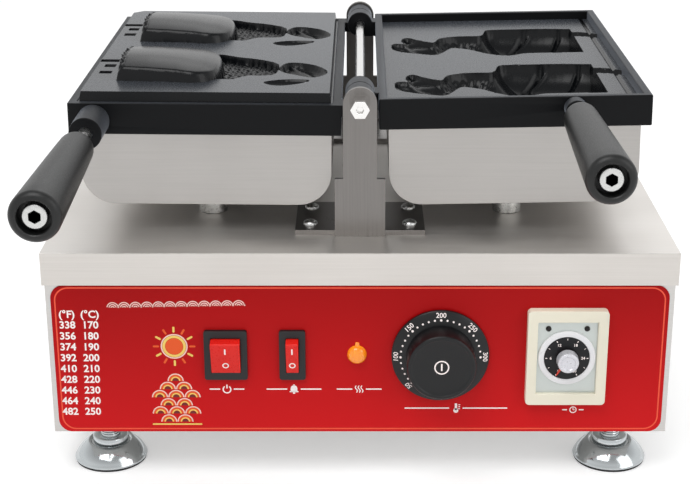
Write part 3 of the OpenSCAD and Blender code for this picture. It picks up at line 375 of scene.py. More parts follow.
def printed_aluminium():
    """Aluminium sheet with red screen print under a clear lacquer, with a soft gloss. Its red is painted
    darker towards the top: painted shade where the tray's skirt shades the sheet."""
    made, tree, shader = new_finish("printed_red_sheet", "#C8181C", Specular_IOR_Level=0.12)
    place = add(tree, "TexCoord")
    height = add(tree, "SeparateXYZ", {"Vector": place.outputs["Object"]})
    # Painted shade: the red darkens towards the top of the sheet, where the tray's skirt above shades it
    painted_skirt_shade = spread(tree, height.outputs["Z"], OVERLAY_LOW.z, OVERLAY_HIGH.z, 0, 1)
    shaded_red = blend(tree, painted_skirt_shade, linear("#D0181C"), linear("#A2080B"))
    tree.links.new(shaded_red, shader.inputs["Base Color"])
    noise = add(tree, "TexNoise", {"Vector": place.outputs["Object"], "Scale": 1 / (1.4 * MM), "Detail": 2.0})
    tree.links.new(spread(tree, noise.outputs["Fac"], 0, 1, 0.34, 0.46), shader.inputs["Roughness"])
    bumped(tree, shader, noise.outputs["Fac"], 0.08, 0.02)
    return made


TRAY_STEEL = brushed_stainless("tray_stainless", "#C2BEB9", "#E0DCD8", "X", (0.4, 0.55), 1.3, 0.3)
# Painted light: a lighter copy of the tray's steel for its top faces, standing in for the light that falls on
# the deck
PAINTED_LIGHT_DECK_STEEL = brushed_stainless("deck_stainless_painted_light", "#DDD9D4", "#F3F0ED", "X", (0.4, 0.55), 1.3, 0.3)
CABINET_STEEL = brushed_stainless("cabinet_stainless", "#B9B7B4", "#D6D4D2", "X", (0.28, 0.45))
BRACKET_STEEL = brushed_stainless("bracket_stainless", "#6F6C6A", "#93908D", "Z", (0.26, 0.42))
COVER_STEEL = brushed_stainless("cover_stainless", "#A3A09D", "#BDBAB7", "X", (0.3, 0.46), 1.1, 0.2)

# Chrome over a spun bell is a mirror with the faintest waviness, zinc on cold-headed steel a soft mottled
# silver, and a ground rod or a turned bolt head nearly as bright as chrome
CHROME = grained("chrome_plate", "#BEC3C5", (0.09, 0.16), 9.0, 0.15, 0.03, Metallic=1.0)
ZINC = grained("zinc_plate", "#C9C9C8", (0.2, 0.4), 1.6, 0.25, tint=("#B4B5B4", "#DADAD8"), Metallic=1.0)
GROUND_STEEL = grained("ground_steel", "#E4E3E1", (0.1, 0.24), 0.8, 0.3, 0.01, Metallic=1.0)

# Screen print: the red sheet, and inks that are thin matt films, slightly uneven in their gloss
RED_PRINT = printed_aluminium()
WHITE_INK, PALE_INK, ORANGE_INK, CREAM_INK, BROWN_INK, ORANGE_LINE_INK = [
    grained(name + "_ink", colour, (0.4, 0.55), 0.9, 0.1, 0.01) for name, colour in (
        ("white", "#FFF4F1"), ("pale", "#F6CFC6"), ("orange", "#E8550E"), ("cream", "#F3CE66"),
        ("brown", "#6A150F"), ("orange_line", "#EE4F30"))]

# Sand-cast aluminium under a sprayed fluoropolymer coat: dark, satin, the casting's pebble felt through it
CAST = {"bump_mm": 0.05, "detail": 3.0}
FRAME_COAT = grained("frame_coating", "#0A0B0D", (0.36, 0.5), 0.8, 0.4, **CAST, Specular_IOR_Level=0.14,
                     Sheen_Weight=0.5, Sheen_Roughness=0.3, Sheen_Tint=linear("#B9C0CC"))
CAVITY_COAT = grained("cavity_coating", "#06080B", (0.2, 0.3), 0.7, 0.2, **CAST, Specular_IOR_Level=0.24)
FACE_COAT = grained("face_coating", "#0D0F13", (0.2, 0.32), 0.7, 0.22, **CAST, Specular_IOR_Level=0.28,
                    Sheen_Weight=0.6, Sheen_Roughness=0.3, Sheen_Tint=linear("#B4BCC8"))

# Mouldings: even colours, with the mould's spark-eroded grain in their gloss
BAKELITE = grained("bakelite", "#121313", (0.34, 0.48), 0.6, 0.25, Specular_IOR_Level=0.4)
KNOB_BLACK = grained("knob_phenolic", "#0C0D0F", (0.3, 0.42), 0.6, 0.2, Specular_IOR_Level=0.35)
SWITCH_BLACK = grained("switch_nylon", "#141618", (0.38, 0.5), 0.5, 0.2, Specular_IOR_Level=0.4)
RUBBER = grained("foot_rubber", "#0D0E11", (0.6, 0.75), 0.7, 0.3, Specular_IOR_Level=0.3)
IVORY = grained("ivory_abs", "#EAE5D2", (0.36, 0.46), 0.6, 0.12)
RING_WHITE = grained("ring_abs", "#E6E6E8", (0.3, 0.4), 0.6, 0.1)
DIAL_BLACK = grained("dial_print", "#0B0C10", (0.4, 0.5), 0.5, 0.1, Specular_IOR_Level=0.3)
FACE_SILVER = grained("face_plate", "#C2C8C5", (0.3, 0.42), 0.5, 0.15, Metallic=0.6)
LAMP_RED = grained("lamp_epoxy", "#0C0404", (0.2, 0.3), 0.8, 0.1, Specular_IOR_Level=0.3)
POINTER = grained("pointer_abs", "#E03A20", (0.3, 0.4), 0.6, 0.1)
TIMER_KNOB = grained("timer_knob_abs", "#D2D2D8", (0.26, 0.32), 1.2, 0.05, Metallic=0.3)

# Cast acrylic with a painted glow, a faint even emission standing in for light gathered in it, clear red
# polycarbonate lit a little from within, and the heaters' oxidised sheath
AMBER = grained("amber_acrylic", "#F08A12", (0.12, 0.22), 1.5, 0.3, 0.05, tint=("#E07A08", "#FFA52A"),
                IOR=1.49, Coat_Weight=0.5, Coat_Roughness=0.05, Subsurface_Weight=0.35,
                Subsurface_Radius=(0.004, 0.0015, 0.0004), Emission_Color=linear("#FF8A10"),
                Emission_Strength=0.18)
SWITCH_RED = grained("switch_red", "#E0241C", (0.26, 0.34), 1.2, 0.05, 0.01, tint=("#DA150F", "#E9261B"),
                     Coat_Weight=0.15, Coat_Roughness=0.1, Specular_IOR_Level=0.25, Subsurface_Weight=0.25,
                     Subsurface_Radius=(0.003, 0.0006, 0.0004))
HEATER = grained("heater_sheath", "#3A3532", (0.45, 0.65), 1.0, 0.4, Metallic=0.7)


# Camera and stage

def camera():
    """The photograph's view: a long lens from above the front, with the machine right of its middle."""
    away, above, dip = 844.3, 311.8, 19.84
    lens = bpy.data.cameras.new("camera")
    lens.lens = 80.87
    lens.sensor_width = 36
    lens.shift_x = -15 / 690
    lens.clip_end = 20
    holder = new_object("camera", lens)
    holder.location = Vector((0, TRAY_FRONT - away, TRAY_TOP + above)) * MM
    holder.rotation_euler = (math.radians(90 - dip), 0, 0)
    bpy.context.scene.camera = holder


def lamp(name, power, size, place):
    """A square soft box at a place, turned to the middle of the machine, in metres and watts."""
    light = bpy.data.lights.new(name, "AREA")
    light.energy = power
    light.size = size
    aim = Vector((0, 0.05, 0.15))
    holder = new_object(name, light)
    holder.location = place
    holder.rotation_euler = (aim - Vector(place)).to_track_quat("-Z", "Y").to_euler()


def rays_that_see(tree):
    """The light path, and 1 for the rays that show the surround: direct, reflected or through a solid."""
    path = add(tree, "LightPath")
    seen = maths(tree, "MAXIMUM", path.outputs["Is Camera Ray"], path.outputs["Is Glossy Ray"])
    return path, maths(tree, "MAXIMUM", seen, path.outputs["Is Transmission Ray"])


def studio():
    """White floor that keeps the shadow, a plain white surround whose reflection fades overhead, and
    three soft boxes."""
    floor_size = 9
    mesh = mesh_from(slab(floor_size, floor_size, 0), "floor")
    floor = new_object("floor", mesh)
    made = bpy.data.materials.new("floor_paper")
    made.use_nodes = True
    tree = made.node_tree
    tree.nodes.clear()
    _, shown = rays_that_see(tree)
    glow = add(tree, "Emission", {"Color": (1, 1, 1, 1), "Strength": maths(tree, "MULTIPLY", shown, 0.36)})
    paper = add(tree, "BsdfDiffuse", {"Color": linear("#E4E4E4")})
    both = add(tree, "AddShader", {0: glow.outputs[0], 1: paper.outputs[0]})
    add(tree, "OutputMaterial", {"Surface": both.outputs[0]})
    mesh.materials.append(made)

    sky = bpy.data.worlds.new("studio")
    bpy.context.scene.world = sky
    sky.use_nodes = True
    tree = sky.node_tree
    tree.nodes.clear()
    path, shown = rays_that_see(tree)
    level = spread(tree, shown, 0, 1, 0.62, 1)
    way = add(tree, "SeparateXYZ", {"Vector": add(tree, "TexCoord").outputs["Generated"]})
    overhead = spread(tree, way.outputs["Z"], 0.3, 0.8, 1, 0.5)
    dim = maths(tree, "MAXIMUM", overhead, maths(tree, "SUBTRACT", 1.0, path.outputs["Is Glossy Ray"]))
    light = add(tree, "Background", {"Color": (1, 1, 1, 1), "Strength": maths(tree, "MULTIPLY", level, dim)})
    add(tree, "OutputWorld", {"Surface": light.outputs[0]})
    lamp("key_box", 16, 1.1, (-0.4, -0.85, 1.72))
    lamp("fill_box", 7, 1.2, (1.3, -0.9, 1.0))
    lamp("top_box", 5, 1.3, (0.2, 1.2, 1.5))
    bpy.context.scene.view_settings.view_transform = "Standard"


# Cabinet, tray, brackets and covers

def painted(node, finish):
    """A CAD node that keeps its shape and gets its finish."""
    mesh = frame["nodes"][node].data
    mesh.materials.clear()
    mesh.materials.append(finish)


def dress(body, before, table):
    """Dresses the CAD nodes of a table, whose names have the same beginning."""
    for node, *looks in table:
        dressed(before + node, body, *looks)


def sheet_metal():
    """The cabinet, its tray and brackets, and the two halves' covers, heaters and castings."""
    dress("base", "", (
        ("cabinet", CABINET_STEEL, "chassis_steel", 0.5, 3), ("top_tray", TRAY_STEEL, "brushed_tray", 0.7, 3),
        ("front_overlay", RED_PRINT, "red_sheet", 0.15, 1),
        ("floor_plate", CABINET_STEEL, "chassis_steel", 0.2, 1),
        ("front_bracket", BRACKET_STEEL, "brushed_bracket", 0.5, 3),
        ("rear_bracket", BRACKET_STEEL, "brushed_bracket", 0.5, 3)))
    tray = bpy.data.objects["top_tray_dressed"].data
    # Painted light: the tray's upward faces take the lighter copy of its steel
    tray.materials.append(PAINTED_LIGHT_DECK_STEEL)
    for face in tray.polygons:
        face.material_index = int(face.normal.z > 0.9)
    for side in SIDE_NAME.values():
        dress(side + "_half", side + "_", (
            ("cover", COVER_STEEL, "brushed_cover", 0.55, 3), ("cover_bolts", ZINC, "zinc_steel", 0.5),
            ("clamp", ZINC, "zinc_steel", 0.3), ("heater", HEATER, "heater_sheath"),
            ("frame", FRAME_COAT, "cast_black", 0.8, 3), ("boss", FRAME_COAT, "cast_black", 0.7, 3)))


def small_steel():
    """The shaft, nuts, posts and screws, and what stays inside the cabinet."""
    dress("base", "", (
        ("hinge_shaft", GROUND_STEEL, "polished_steel", 0.4),
        ("shaft_nuts", GROUND_STEEL, "polished_steel", 0.5), ("rest_posts", ZINC, "zinc_steel", 0.5),
        ("post_caps", RUBBER, "black_rubber", 0.6), ("floor_screws", ZINC, "zinc_steel", 0.4),
        ("cable_gland", SWITCH_BLACK, "switch_black", 0.4)))
    for finish, nodes in ((ZINC, ("backing_bars", "foot_inserts", "thermostat", "temperature_spindle")),
                          (SWITCH_BLACK, ("pilot_holder", "gland_nut", "buzzer")),
                          (IVORY, ("terminal_block",))):
        for node in nodes:
            painted(node, finish)


def socket_head(radius, height, socket, depth, crown):
    """A screw head with rounded shoulders and a hexagonal socket, standing on z = 0."""
    shoulder = quarter(crown, (radius - crown, height - crown), 6)[1:]
    bm = turned([(0, 0), (radius, 0), (radius, height - crown), *shoulder, (1.25 * socket, height)], 64)
    rim = [edge for edge in bm.edges if edge.is_boundary]
    hexagon = bmesh.ops.create_circle(bm, cap_ends=False, radius=socket, segments=6,
                                      matrix=move(z=height))["verts"]
    outline = list({edge for vert in hexagon for edge in vert.link_edges})
    bmesh.ops.bridge_loops(bm, edges=rim + outline)
    floor = verts_of(bmesh.ops.extrude_edge_only(bm, edges=outline)["geom"])
    bmesh.ops.translate(bm, vec=(0, 0, -depth), verts=floor)
    bmesh.ops.contextual_create(bm, geom=floor)
    return bm


def rod(radius, start, stop):
    """A plain round rod along Z."""
    return turned([(0, start), (radius, start), (radius, stop), (0, stop)], 32)


def bracket_screws():
    """Eight button-head screws that hold the two brackets down."""
    parts = []
    foot_middle, across, along = 27, 30, 15.5
    shank, shank_end, sunk_in = 2.5, -13.5, 0.5
    head = {"radius": 4.4, "height": 2.4, "socket": 1.3, "depth": 1.3, "crown": 2.1}
    for bracket, back in (("front_bracket", 1), ("rear_bracket", -1)):
        low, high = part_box(bracket)
        middle = (low.y if back > 0 else high.y) / MM + back * (SHEET + foot_middle)
        for x in (-across, across):
            for y in (-along, along):
                any_turn = 20 * x + 11 * y
                place = move(x, middle + y, TRAY_TOP + SHEET, any_turn)
                parts += [(socket_head(**head), place), (rod(shank, shank_end, sunk_in), place)]
    piece_from(gather(parts), "bracket_screw_set", world(), "base", ZINC, ["bracket_screws"])


# Levelling feet

def feet():
    """Spun bells with a groove round the stud, each on a rubber pad."""
    pad, rim, neck, groove, stud = 1.5, 22.5, 10.75, 9.9, 6.0
    inside, reach, half_pitch, cut = pad + 0.5, 20.0, 0.75, 0.35
    base_z = TRAY_TOP - CABINET_H
    bell = [(0, inside), (rim - 4.5, inside), (rim - 4.5, pad), (rim - 0.5, pad), (rim - 0.1, pad + 0.3),
            (rim, pad + 0.8), (rim - 0.1, pad + 1.3)]
    bell += [(22.1, 3.2), (21.5, 4.6), (20.6, 6.1), (19.4, 7.7), (18.0, 9.2), (16.5, 10.6), (15.0, 11.8),
             (13.9, 12.5), (13.3, 12.6), (12.6, 12.3), (groove + 1.9, 11.4), (neck, 11.6), (neck, 15.8),
             (neck - 0.6, 16.4), (stud + 0.4, 16.4), (stud, 16.2)]
    thread = [(stud - cut * (i % 2), 16.5 + half_pitch * i) for i in range(24)]
    bell += [(radius, z) for radius, z in thread if z < base_z - 0.2]
    bell += [(stud, base_z), (stud, base_z + reach - 1), (stud - 1, base_z + reach), (0, base_z + reach)]
    sole = [(0, 0), (rim - 1.1, 0), (rim - 0.6, 0.4), (rim - 0.6, pad), (rim - 4.6, pad),
            (rim - 4.6, inside), (0, inside)]
    for name in ("front_left", "front_right", "rear_left", "rear_right"):
        body = name + "_foot"
        low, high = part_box(body)
        middle = (low + high) / 2 / MM
        place = world(middle.x, middle.y, 0)
        piece_from(turned(bell), name + "_bell", place, body, CHROME, [body], 50)
        piece_from(turned(sole), name + "_sole", place, body, RUBBER, [name + "_pad"])


# Handles

def handles():
    """Long tapered grips with a recess in the free end, where the head of a long bolt sits."""
    length, big, small, shoulder, end_r, recess, recess_l = 124.5, 13.25, 10.0, 10.0, 4.0, 8.75, 8.0
    bore, shank_gap, shank_past, sunk_in = 4.1, 0.15, 2.4, 0.2
    head = {"radius": 6.5, "height": 6.0, "socket": 3.5, "depth": 3.5, "crown": 1.0}
    floor, straight = length - recess_l, length - end_r
    profile = [(bore, 0), (0.5 * small, 0)]
    profile += [(0.5 * small + 0.5 * small * math.sin(a), shoulder * (1 - math.cos(a)))
                for a in (math.radians(7.5 * i) for i in range(1, 13))]
    profile += [(small + (big - small) * (i / 8) ** 0.92, shoulder + (straight - shoulder) * i / 8)
                for i in range(1, 9)]
    profile += quarter(end_r, (big - end_r, straight), 8)[1:]
    profile += [(recess + 0.5, length), (recess, length - 0.5), (recess, floor), (bore, floor), (bore, 0)]
    for side, u, drop, start in ((-1, 156, 12, -19), (1, 125.5, 5, 15)):
        name = SIDE_NAME[side]
        body = name + "_half"
        axis = half_space(side) @ move(u, start, -drop) @ UPRIGHT
        piece_from(turned(profile), name + "_handle", axis, body, BAKELITE, [name + "_grip"])
        shank = rod(bore - shank_gap, start - HALF_FRONT - shank_past, floor + sunk_in)
        bolt = gather([(socket_head(**head), move(z=floor)), (shank, move())])
        piece_from(bolt, name + "_handle_bolt", axis, body, ZINC, [name + "_grip_bolt"])


# Switches and lamp

def rocker_switch(name, x, width):
    """A snap-in rocker: bezel with a raised rim, and a two-faced rocker marked I and O."""
    dressed(name + "_housing", "base", SWITCH_BLACK, "switch_black", 0.5, 3)
    inner, reach, back, tip, valley, sharp = width - 8.1, 10.9, 1.0, 9, -6.3, 25
    side_view = [(6.0, -reach), (6.0, reach), (-5.2, reach), (-7.2, reach - 0.3), (-7.5, reach - 1.6),
                 (valley, 0), (-5.2, -reach + 0.4), (-4.4, -reach)]
    bm = bmesh.new()
    cheek = bm.faces.new([bm.verts.new((-inner / 2, y, z)) for y, z in side_view])
    grown = bmesh.ops.extrude_face_region(bm, geom=[cheek])["geom"]
    bmesh.ops.translate(bm, vec=(inner, 0, 0), verts=verts_of(grown))
    place, body = world(x, PANEL + back, CONTROL_Z, tip), name + "_rocker"
    piece = piece_from(bm, name + "_key", place, body, SWITCH_RED, [name + "_rocker"], sharp)
    broken_edges(piece, 0.5, 3, sharp)
    lean = Matrix.Rotation(math.atan2(1.2, reach - 1.6), 4, "X")
    sink = Matrix.Rotation(math.atan2(1.1, reach - 0.4), 4, "X")
    one = move(0, valley - 0.7 - INK, 0.5 * reach) @ lean @ UPRIGHT
    zero = move(0, valley + 0.52 - INK, -0.45 * reach) @ sink @ UPRIGHT
    marks = [(slab(0.9, 4.2, 0), one), (ring(2.0, 0.75, 40), zero)]
    print_from(marks, name + "_marks", place, body, WHITE_INK)


def pilot_light():
    """A domed amber lens with a shallow flange and a small locating tab above it."""
    radius, flange, rise, plug = 5.75, 1.5, 3.0, 1.2
    dome = [(radius * 0.93 * math.cos(a), flange + rise * math.sin(a))
            for a in (math.radians(9 * i) for i in range(1, 10))]
    lens = turned([(0, -plug), (radius - plug, -plug), (radius - plug, 0), (radius, 0), (radius, 1.1),
                   (radius - 0.3, flange), *dome, (0, flange + rise)], 64)
    tab = slab(2.4, 2.6, 1.0, 0.5)
    whole = gather([(lens, move()), (tab, move(0.2, radius + 0.7))])
    place = facing_front(PILOT_X, PANEL, CONTROL_Z)
    piece_from(whole, "pilot_dome", place, "base", AMBER, ["pilot_lens"], 40)


# Temperature knob

def temperature_knob():
    """A conical skirt with numbers and dots, and a plain round grip with a dished face."""
    rim_r, cap_r, gap, rim_t, rise, reach = 29.0, 20.5, 0.8, 2.5, 2.2, 21.0
    bore, bore_end, face = 3.05, reach - 6, reach - 1.5
    body, base = "temperature_knob", gap + rim_t + rise
    place = facing_front(KNOB_X, PANEL, CONTROL_Z)
    skirt = [(bore, gap), (rim_r - 0.4, gap), (rim_r, gap + 0.4), (rim_r, gap + rim_t - 0.5),
             (rim_r - 0.5, gap + rim_t), (cap_r, base - 0.05), (bore, base - 0.05), (bore, gap)]
    piece_from(turned(skirt, 128), "numbered_skirt", place, body, KNOB_BLACK, ["temperature_skirt"])
    dish = [(cap_r - 3.2 - 0.9 * i, reach - 0.5 - 1.0 * (1 - (1 - i / 8) ** 2)) for i in range(1, 9)]
    cap = [(bore, base), (cap_r, base), (cap_r - 0.25, reach - 2.0),
           *quarter(1.4, (cap_r - 1.75, reach - 1.4), 6), (cap_r - 2.6, reach), (cap_r - 3.2, reach - 0.5),
           *dish, (0, face), (0, bore_end), (bore, bore_end), (bore, base)]
    piece_from(turned(cap, 128), "dished_grip", place, body, KNOB_BLACK, ["temperature_cap"])
    slope = math.atan2(rise, rim_r - cap_r)

    def on_skirt(angle, radius):
        height = gap + rim_t + rise * (rim_r - radius) / (rim_r - cap_r) + INK
        return move(turn=-angle) @ move(0, radius, height) @ Matrix.Rotation(-slope, 4, "X")

    upper, per_degree = 200, 0.9
    prints = [(figures(str(value), 2.9, 0.06), on_skirt((value - upper) * per_degree, 26.4))
              for value in range(50, 301, 50)]
    prints += [(disc(0.62 if step % 5 else 0.75, 16), on_skirt(step * 9, 23.7)) for step in range(-15, 11)]
    prints += [(slab(0.5, 2.2, 0), on_skirt(178, 27.0)), (disc(0.5, 16), on_skirt(184, 26.0))]
    print_from(prints, "skirt_print", place, body, WHITE_INK)
    emblem = [(ring(4.4, 0.8, 48), move(0, 0, face + INK)), (slab(0.9, 4.6, 0), move(0, 0.2, face + INK))]
    print_from(emblem, "grip_print", place, body, WHITE_INK)


# Timer

def timer():
    """An ivory bezel round a recessed plate with a raised ring, a printed dial, a knob and two lamps."""
    dress("base", "timer_", (("case", IVORY, "ivory_abs", 0.7, 3), ("dial", DIAL_BLACK, "dial_black", 0.1, 1),
                             ("lamps", LAMP_RED, "lamp_red", 0.3, 3)))
    low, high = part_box("timer_face")
    middle, size = (low + high) / 2 / MM, (high - low) / MM
    plate_t, ring_t, ring_r, dial_r, edge = 1.0, 1.6, 17.0, 13.55, 0.5
    at_face = facing_front(middle.x, high.y / MM, middle.z)
    plate = slab(size.x, size.z, plate_t, 0.4)
    piece_from(plate, "timer_plate", at_face, "base", FACE_SILVER, ["timer_face"])
    rim = [(dial_r, plate_t), (ring_r, plate_t), (ring_r, plate_t + ring_t - edge),
           *quarter(edge, (ring_r - edge, plate_t + ring_t - edge), 5)[1:], (dial_r + 0.3, plate_t + ring_t),
           (dial_r, plate_t + ring_t - 0.3), (dial_r, plate_t)]
    piece_from(turned(rim), "timer_ring", at_face, "base", RING_WHITE, ["timer_face"])

    place = facing_front(middle.x, low.y / MM, middle.z)
    marks = []
    tick_r, number_r = 12.2, 9.6
    for step in range(11):
        turn = -150 + 30 * step
        marks.append((slab(0.32 if step % 2 else 0.5, 1.1, 0), move(turn=-turn) @ move(0, tick_r, INK)))
        if step % 2 == 0:
            angle = math.radians(turn)
            place_of = move(number_r * math.sin(angle), number_r * math.cos(angle), INK)
            marks.append((figures(str(step * 3), 1.7, 0.05), place_of))
    print_from(marks, "dial_print", place, "base", WHITE_INK)

    low_z, top_z, stem, stem_end = 1.9, 7.6, 2.9, -13.0
    knob = [(3.2, low_z), (6.3, low_z), (6.5, 2.2), (6.2, 7.4), *quarter(0.8, (5.4, 7.2), 5), (4.4, 8.0),
            (4.0, top_z), (0, top_z), (0, stem_end), (stem, stem_end), (stem, low_z), (3.2, low_z)]
    body = "timer_knob"
    piece_from(turned(knob, 64), "timer_grip", place, body, TIMER_KNOB, ["timer_knob"])
    thick, above, length, taper = 1.0, 0.6, 12.4, 0.12
    hub = slab(10, 10, thick, 4.99, 8)
    tip = slab(2.6, length, thick)
    for vert in tip.verts:
        if vert.co.y > 0:
            vert.co.x *= taper
    needle = gather([(hub, move(0, 0, above)), (tip, move(0, 0, above, 150) @ move(0, length / 2))])
    piece_from(needle, "timer_needle", place, body, POINTER, ["timer_pointer"])


# Prints on the front sheet

def stroke(radius, width, start, stop, steps=20):
    """A flat curved line: part of a ring, from one angle to another in degrees."""
    bm = bmesh.new()
    verts = [bm.verts.new((radius + half, 0, 0)) for half in (-width / 2, width / 2)]
    bm.edges.new(verts)
    turn = Matrix.Rotation(math.radians(start), 3, "Z")
    bmesh.ops.rotate(bm, cent=(0, 0, 0), matrix=turn, verts=bm.verts)
    bmesh.ops.spin(bm, geom=bm.verts[:] + bm.edges[:], cent=(0, 0, 0), axis=(0, 0, 1),
                   angle=math.radians(stop - start), steps=steps)
    return bm


def on_sheet(parts, name, ink):
    """Prints flat pieces on the front sheet, at their own x and z on the machine in mm."""
    print_from(parts, name, facing_front(0, PANEL - INK, 0), "base", ink)


def border():
    """A thin orange line just inside the edge of the front sheet."""
    width, height, middle, corner, line = 359.8, 92.4, 78.05, 8.5, 0.9
    frame_line = hollowed(slab(width, height, 0, corner, 10), line)
    on_sheet([(frame_line, move(0, middle))], "border_line", ORANGE_LINE_INK)


def temperature_table():
    """Two columns of temperatures in Fahrenheit and Celsius, which lean a little."""
    bold, height, top, pitch, lean = 0.16, 4.5, 100.1, 7.06, -0.2
    parts = []
    for unit, x in (("°F", -173.0), ("°C", -159.4)):
        parts.append((figures("(" + unit + ")", height, bold), move(x, top + 6.8)))
        for row in range(9):
            celsius = 170 + 10 * row
            value = round(celsius * 9 / 5 + 32) if unit == "°F" else celsius
            parts.append((figures(str(value), height, bold), move(x + lean * row, top - pitch * row)))
    on_sheet(parts, "temperature_table", WHITE_INK)


def wave_band():
    """A row of small overlapping wave crests, a traditional ornament, above the table and picture."""
    pitch, start, count, foot, climb = 6.75, -145.6, 12, 111.2, 0.12
    parts = []
    for i in range(count):
        x, z = start + pitch * i, foot + climb * i
        parts += [(stroke(radius, 0.62, 8, 172, 18), move(x, z)) for radius in (3.3, 2.1, 0.9)]
        parts.append((disc(0.5, 14), move(x + pitch / 2, z + 0.4)))
    on_sheet(parts, "wave_band", PALE_INK)


def picture():
    """A plain sun over a heap of traditional wave crests, in warm colours."""
    x, foot_z, radius, sun_z = -110.4, 37.0, 4.9, 86.5
    layers = {PALE_INK: [], ORANGE_INK: [], CREAM_INK: [], BROWN_INK: []}
    for row, count in enumerate((2, 3, 2, 3, 2, 1)):
        for i in range(count):
            place = move(x + (2 * i - count + 1) * radius, foot_z + row * (radius + 0.5))
            for size, width, ink in ((4.5, 0.7, PALE_INK), (3.5, 1.3, ORANGE_INK), (2.45, 0.8, CREAM_INK),
                                     (0.9, 1.8, BROWN_INK)):
                layers[ink].append((stroke(size, width, 0, 180, 18), place))
    for size, width, ink in ((2.6, 5.2, ORANGE_INK), (6.2, 1.6, CREAM_INK), (7.6, 0.8, PALE_INK)):
        layers[ink].append((stroke(size, width, 0, 360, 48), move(x, sun_z)))
    for i in range(12):
        spoke = move(x, sun_z, 0, 30 * i) @ move(0, 10.8)
        layers[ORANGE_INK if i % 2 else CREAM_INK].append((slab(1.3, 3.8, 0, 0.6, 3), spoke))
    layers[CREAM_INK].append((slab(30, 1.0, 0, 0.45, 3), move(x, foot_z - 1.7)))
    for ink, parts in layers.items():
        on_sheet(parts, "picture_" + ink.name, ink)


def signs():
    """A small plain sign under each control, between two short lines, where a label would stand."""
    parts = []

    def flank(x, z, length, gap=8):
        run = (length - gap) / 2
        for side in (-1, 1):
            parts.append((slab(run, 0.8, 0, 0.35, 3), move(x + side * (gap + run) / 2, z)))

    def bars(x, z, *places):
        for dx, dz, width, height in places:
            parts.append((slab(width, height, 0, 0.25, 3), move(x + dx, z + dz)))

    power_x, alarm_x, pilot_x, knob_x, timer_x = POWER_X, -39.6, -0.5, 57.8, 128.4
    upper, lower, timer_z = 58.6, 46.0, 44.9
    flank(power_x, upper, 21)
    parts.append((stroke(2.3, 0.75, 125, 415), move(power_x, upper - 0.2)))
    bars(power_x, upper, (0, 1.7, 0.8, 2.6))
    flank(alarm_x, upper, 33)
    parts.append((stroke(1.0, 2.0, 0, 180), move(alarm_x, upper + 0.5)))
    bars(alarm_x, upper, (0, -0.5, 4.0, 2.2), (0, -1.7, 5.4, 0.7), (0, -2.6, 1.4, 0.9), (0, 2.7, 0.9, 0.9))
    flank(pilot_x, upper, 27)
    for dx in (-1.7, 0, 1.7):
        parts.append((stroke(1.2, 0.6, 120, 240, 10), move(pilot_x + dx + 0.6, upper + 1.15)))
        parts.append((stroke(1.2, 0.6, -60, 60, 10), move(pilot_x + dx - 0.6, upper - 1.15)))
    flank(knob_x, lower, 62)
    bars(knob_x, lower, (0, 0.9, 1.5, 4.4))
    parts.append((disc(1.5, 28), move(knob_x, lower - 1.6)))
    bars(knob_x, lower, *[(2.0, dz, 1.2, 0.5) for dz in (2.2, 0.9, -0.4)])
    flank(timer_x, timer_z, 13, 7)
    parts.append((ring(2.2, 0.6, 40), move(timer_x, timer_z)))
    bars(timer_x, timer_z, (0, 0.7, 0.5, 1.5), (0.5, 0, 1.2, 0.5))
    on_sheet(parts, "control_signs", WHITE_INK)


# Mould plates

def unit(share):
    """A share held between 0 and 1."""
    return np.clip(share, 0, 1)


def least(*values):
    """The smallest of several values at each place."""
    return np.minimum.reduce(values)


def outline_distance(u, s, points):
    """Signed distance from each place to a closed outline, negative inside it."""
    nearest = np.full(u.shape, 1e9)
    inside = np.zeros(u.shape, bool)
    for (u0, s0), (u1, s1) in zip(points, points[1:] + points[:1]):
        du, ds = u1 - u0, s1 - s0
        share = unit(((u - u0) * du + (s - s0) * ds) / (du * du + ds * ds))
        nearest = np.minimum(nearest, np.hypot(u - u0 - share * du, s - s0 - share * ds))
        crosses = (s0 > s) != (s1 > s)
        if s1 != s0:
            inside ^= crosses & (u < u0 + du * (s - s0) / ds)
    return np.where(inside, -nearest, nearest)


def rounded(points, times=2):
    """An outline with its corners cut back, which rounds them."""
    for _ in range(times):
        points = [((1 - k) * a[0] + k * b[0], (1 - k) * a[1] + k * b[1])
                  for a, b in zip(points, points[1:] + points[:1]) for k in (0.25, 0.75)]
    return points


def crumble(u, s):
    """Unevenness of a rough casting, between about -1 and 1."""
    return (np.sin(1.93 * u + 0.71 * s) + np.sin(1.31 * s - 0.62 * u + 1.0) + np.sin(2.87 * u - 2.13 * s)
            + np.sin(0.83 * u + 2.41 * s + 2.0)) / 3.2


# Outlines in a fish's own space in mm: u as in a half, and s behind the middle of the fish's row
MOUTH_END, CORE_END = 149.2, 147.4
FISH = rounded([
    (175, 31.5), (149, 31.5), (129.5, 34.2), (110, 33.8), (92, 33.6), (88.3, 30.5), (86.5, 18), (83.5, 13.2),
    (76, 14), (66.5, 13.6), (59, 10.5), (54, 6.2), (51.4, -5), (48.3, -4), (40, 3), (34, 12), (30.5, 10.5),
    (28.6, 5), (28.6, -2), (31, -8.5), (24, -5.5), (21.2, -11), (21.6, -25.5), (26.5, -31.5), (34.5, -36.5),
    (44.5, -41.2), (50.5, -43.5), (54.8, -38), (59.8, -26), (63, -21.5), (73.5, -27.5), (80.5, -36.5),
    (88.5, -44.8), (97.5, -48.2), (103.2, -46.8), (108.5, -42), (118, -41.5), (147.4, -41.3), (175, -41.3)])
CORE = rounded([
    (165, 27.5), (165, -37), (147, -38), (125, -39.4), (113, -39.6), (102, -43.0), (92, -39.6), (85.5, -28.5),
    (84.5, -8), (86.5, 12), (91, 22), (100, 27), (130, 28)])
